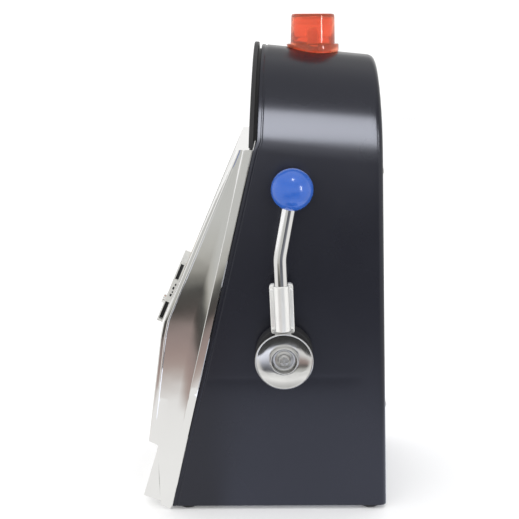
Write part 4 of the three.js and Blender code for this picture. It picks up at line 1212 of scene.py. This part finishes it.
# %% [markdown]
# ## Lights
# A large soft light beside the arch draws the broad band on the black case. It is linked to the
# case alone, so the ball and the plating keep their own small highlights: a lamp high up for the
# ball, and a narrow strip at the back for the ball, the beacon and the case's rear edge. A weak
# fill without shadow or highlight lights the printed front. A small black card under the lever's
# dish is seen only in mirrors, and darkens the upper half of the dish.


# %% Light helpers
def soft_light(name, place, aim, size, power, only=None):
    """A rectangular area light that faces a point. only limits it to the mirror sheen of some
    objects."""
    light = bpy.data.lights.new(name, "AREA")
    light.shape, light.size, light.size_y = "RECTANGLE", size[0], size[1]
    light.energy = power
    made = bpy.data.objects.new(name, light)
    made.location = place
    away = np.array(aim) - np.array(place)
    flat = math.hypot(away[0], away[1])
    made.rotation_euler = (math.atan2(flat, -away[2]), 0, math.atan2(-away[0], away[1]))
    bpy.context.scene.collection.objects.link(made)
    made.visible_camera = False
    if only:
        lit = bpy.data.collections.new(name + " objects")
        for each in only:
            lit.objects.link(each)
        made.light_linking.receiver_collection = lit
        made.visible_diffuse = False
    return made


def flag(name, low, high):
    """A small black card, seen only in mirrors, that shades one part's reflection as a studio flag
    does."""
    (x0, y0, z0), (x1, y1, z1) = low, high
    mesh = bpy.data.meshes.new(name)
    mesh.from_pydata([(x0, y0, z0), (x1, y0, z1), (x1, y1, z1), (x0, y1, z0)], [], [[0, 1, 2, 3]])
    card = bpy.data.objects.new(name, mesh)
    bpy.context.scene.collection.objects.link(card)
    mesh.materials.append(finish("black card", (0.03, 0.03, 0.03), 0.9))
    only_in_mirrors(card)


# %% Lights
black_shell = [bpy.data.objects[name] for name in ("cabinet_case", "coin_door_cover", "battery_cover")]
soft_light("beside the arch", (1.6, 0.05, 1.03), (0, 0.05, 1.03), (1.5, 1.2), 78, only=black_shell)
knob, beacon = bpy.data.objects["lever_ball"], bpy.data.objects["beacon_cap"]
soft_light("high lamp", (0.43, 0.07, 0.98), (0.09, 0.01, 0.27), (0.1, 0.1), 1.1, only=[knob])
soft_light("side strip", (0.9, 0.98, 0.55), (0.05, 0.02, 0.3), (0.1, 0.5), 4,
           only=[knob, beacon, *black_shell])
fill = soft_light("front fill", (-0.2, -1.3, 0.9), (0, 0, 0.18), (1.4, 1.0), 5)
fill.visible_glossy = False
fill.data.use_shadow = False
flag("flag_under_dish", (0.1, -0.05, 0.1), (0.19, 0.08, 0.06))
print("lights:", len(bpy.data.lights))

# %% [markdown]
# ## The camera
# The machine is seen from its lever side, from a little above. The tilt and the small turn towards
# the front are one rotation, and a slight roll about the camera's own line of sight is put in
# before it.

# %% Camera
camera_data = bpy.data.cameras.new("camera")
camera_data.lens, camera_data.sensor_width = 66.7, 36
camera_data.clip_start = 0.02
camera = bpy.data.objects.new("camera", camera_data)
camera.location = (0.7655, 0.0159, 0.3779)
DOWN, ASIDE, ROLL = (math.radians(a) for a in (14.1, 1.57, -0.28))
camera.rotation_euler = (Euler((math.pi / 2 - DOWN, 0, math.pi / 2 + ASIDE)).to_matrix()
                         @ Matrix.Rotation(ROLL, 3, "Z")).to_euler()
bpy.context.scene.collection.objects.link(camera)
bpy.context.scene.camera = camera
bpy.context.scene.view_settings.view_transform = "Standard"
print("camera at", tuple(camera.location))
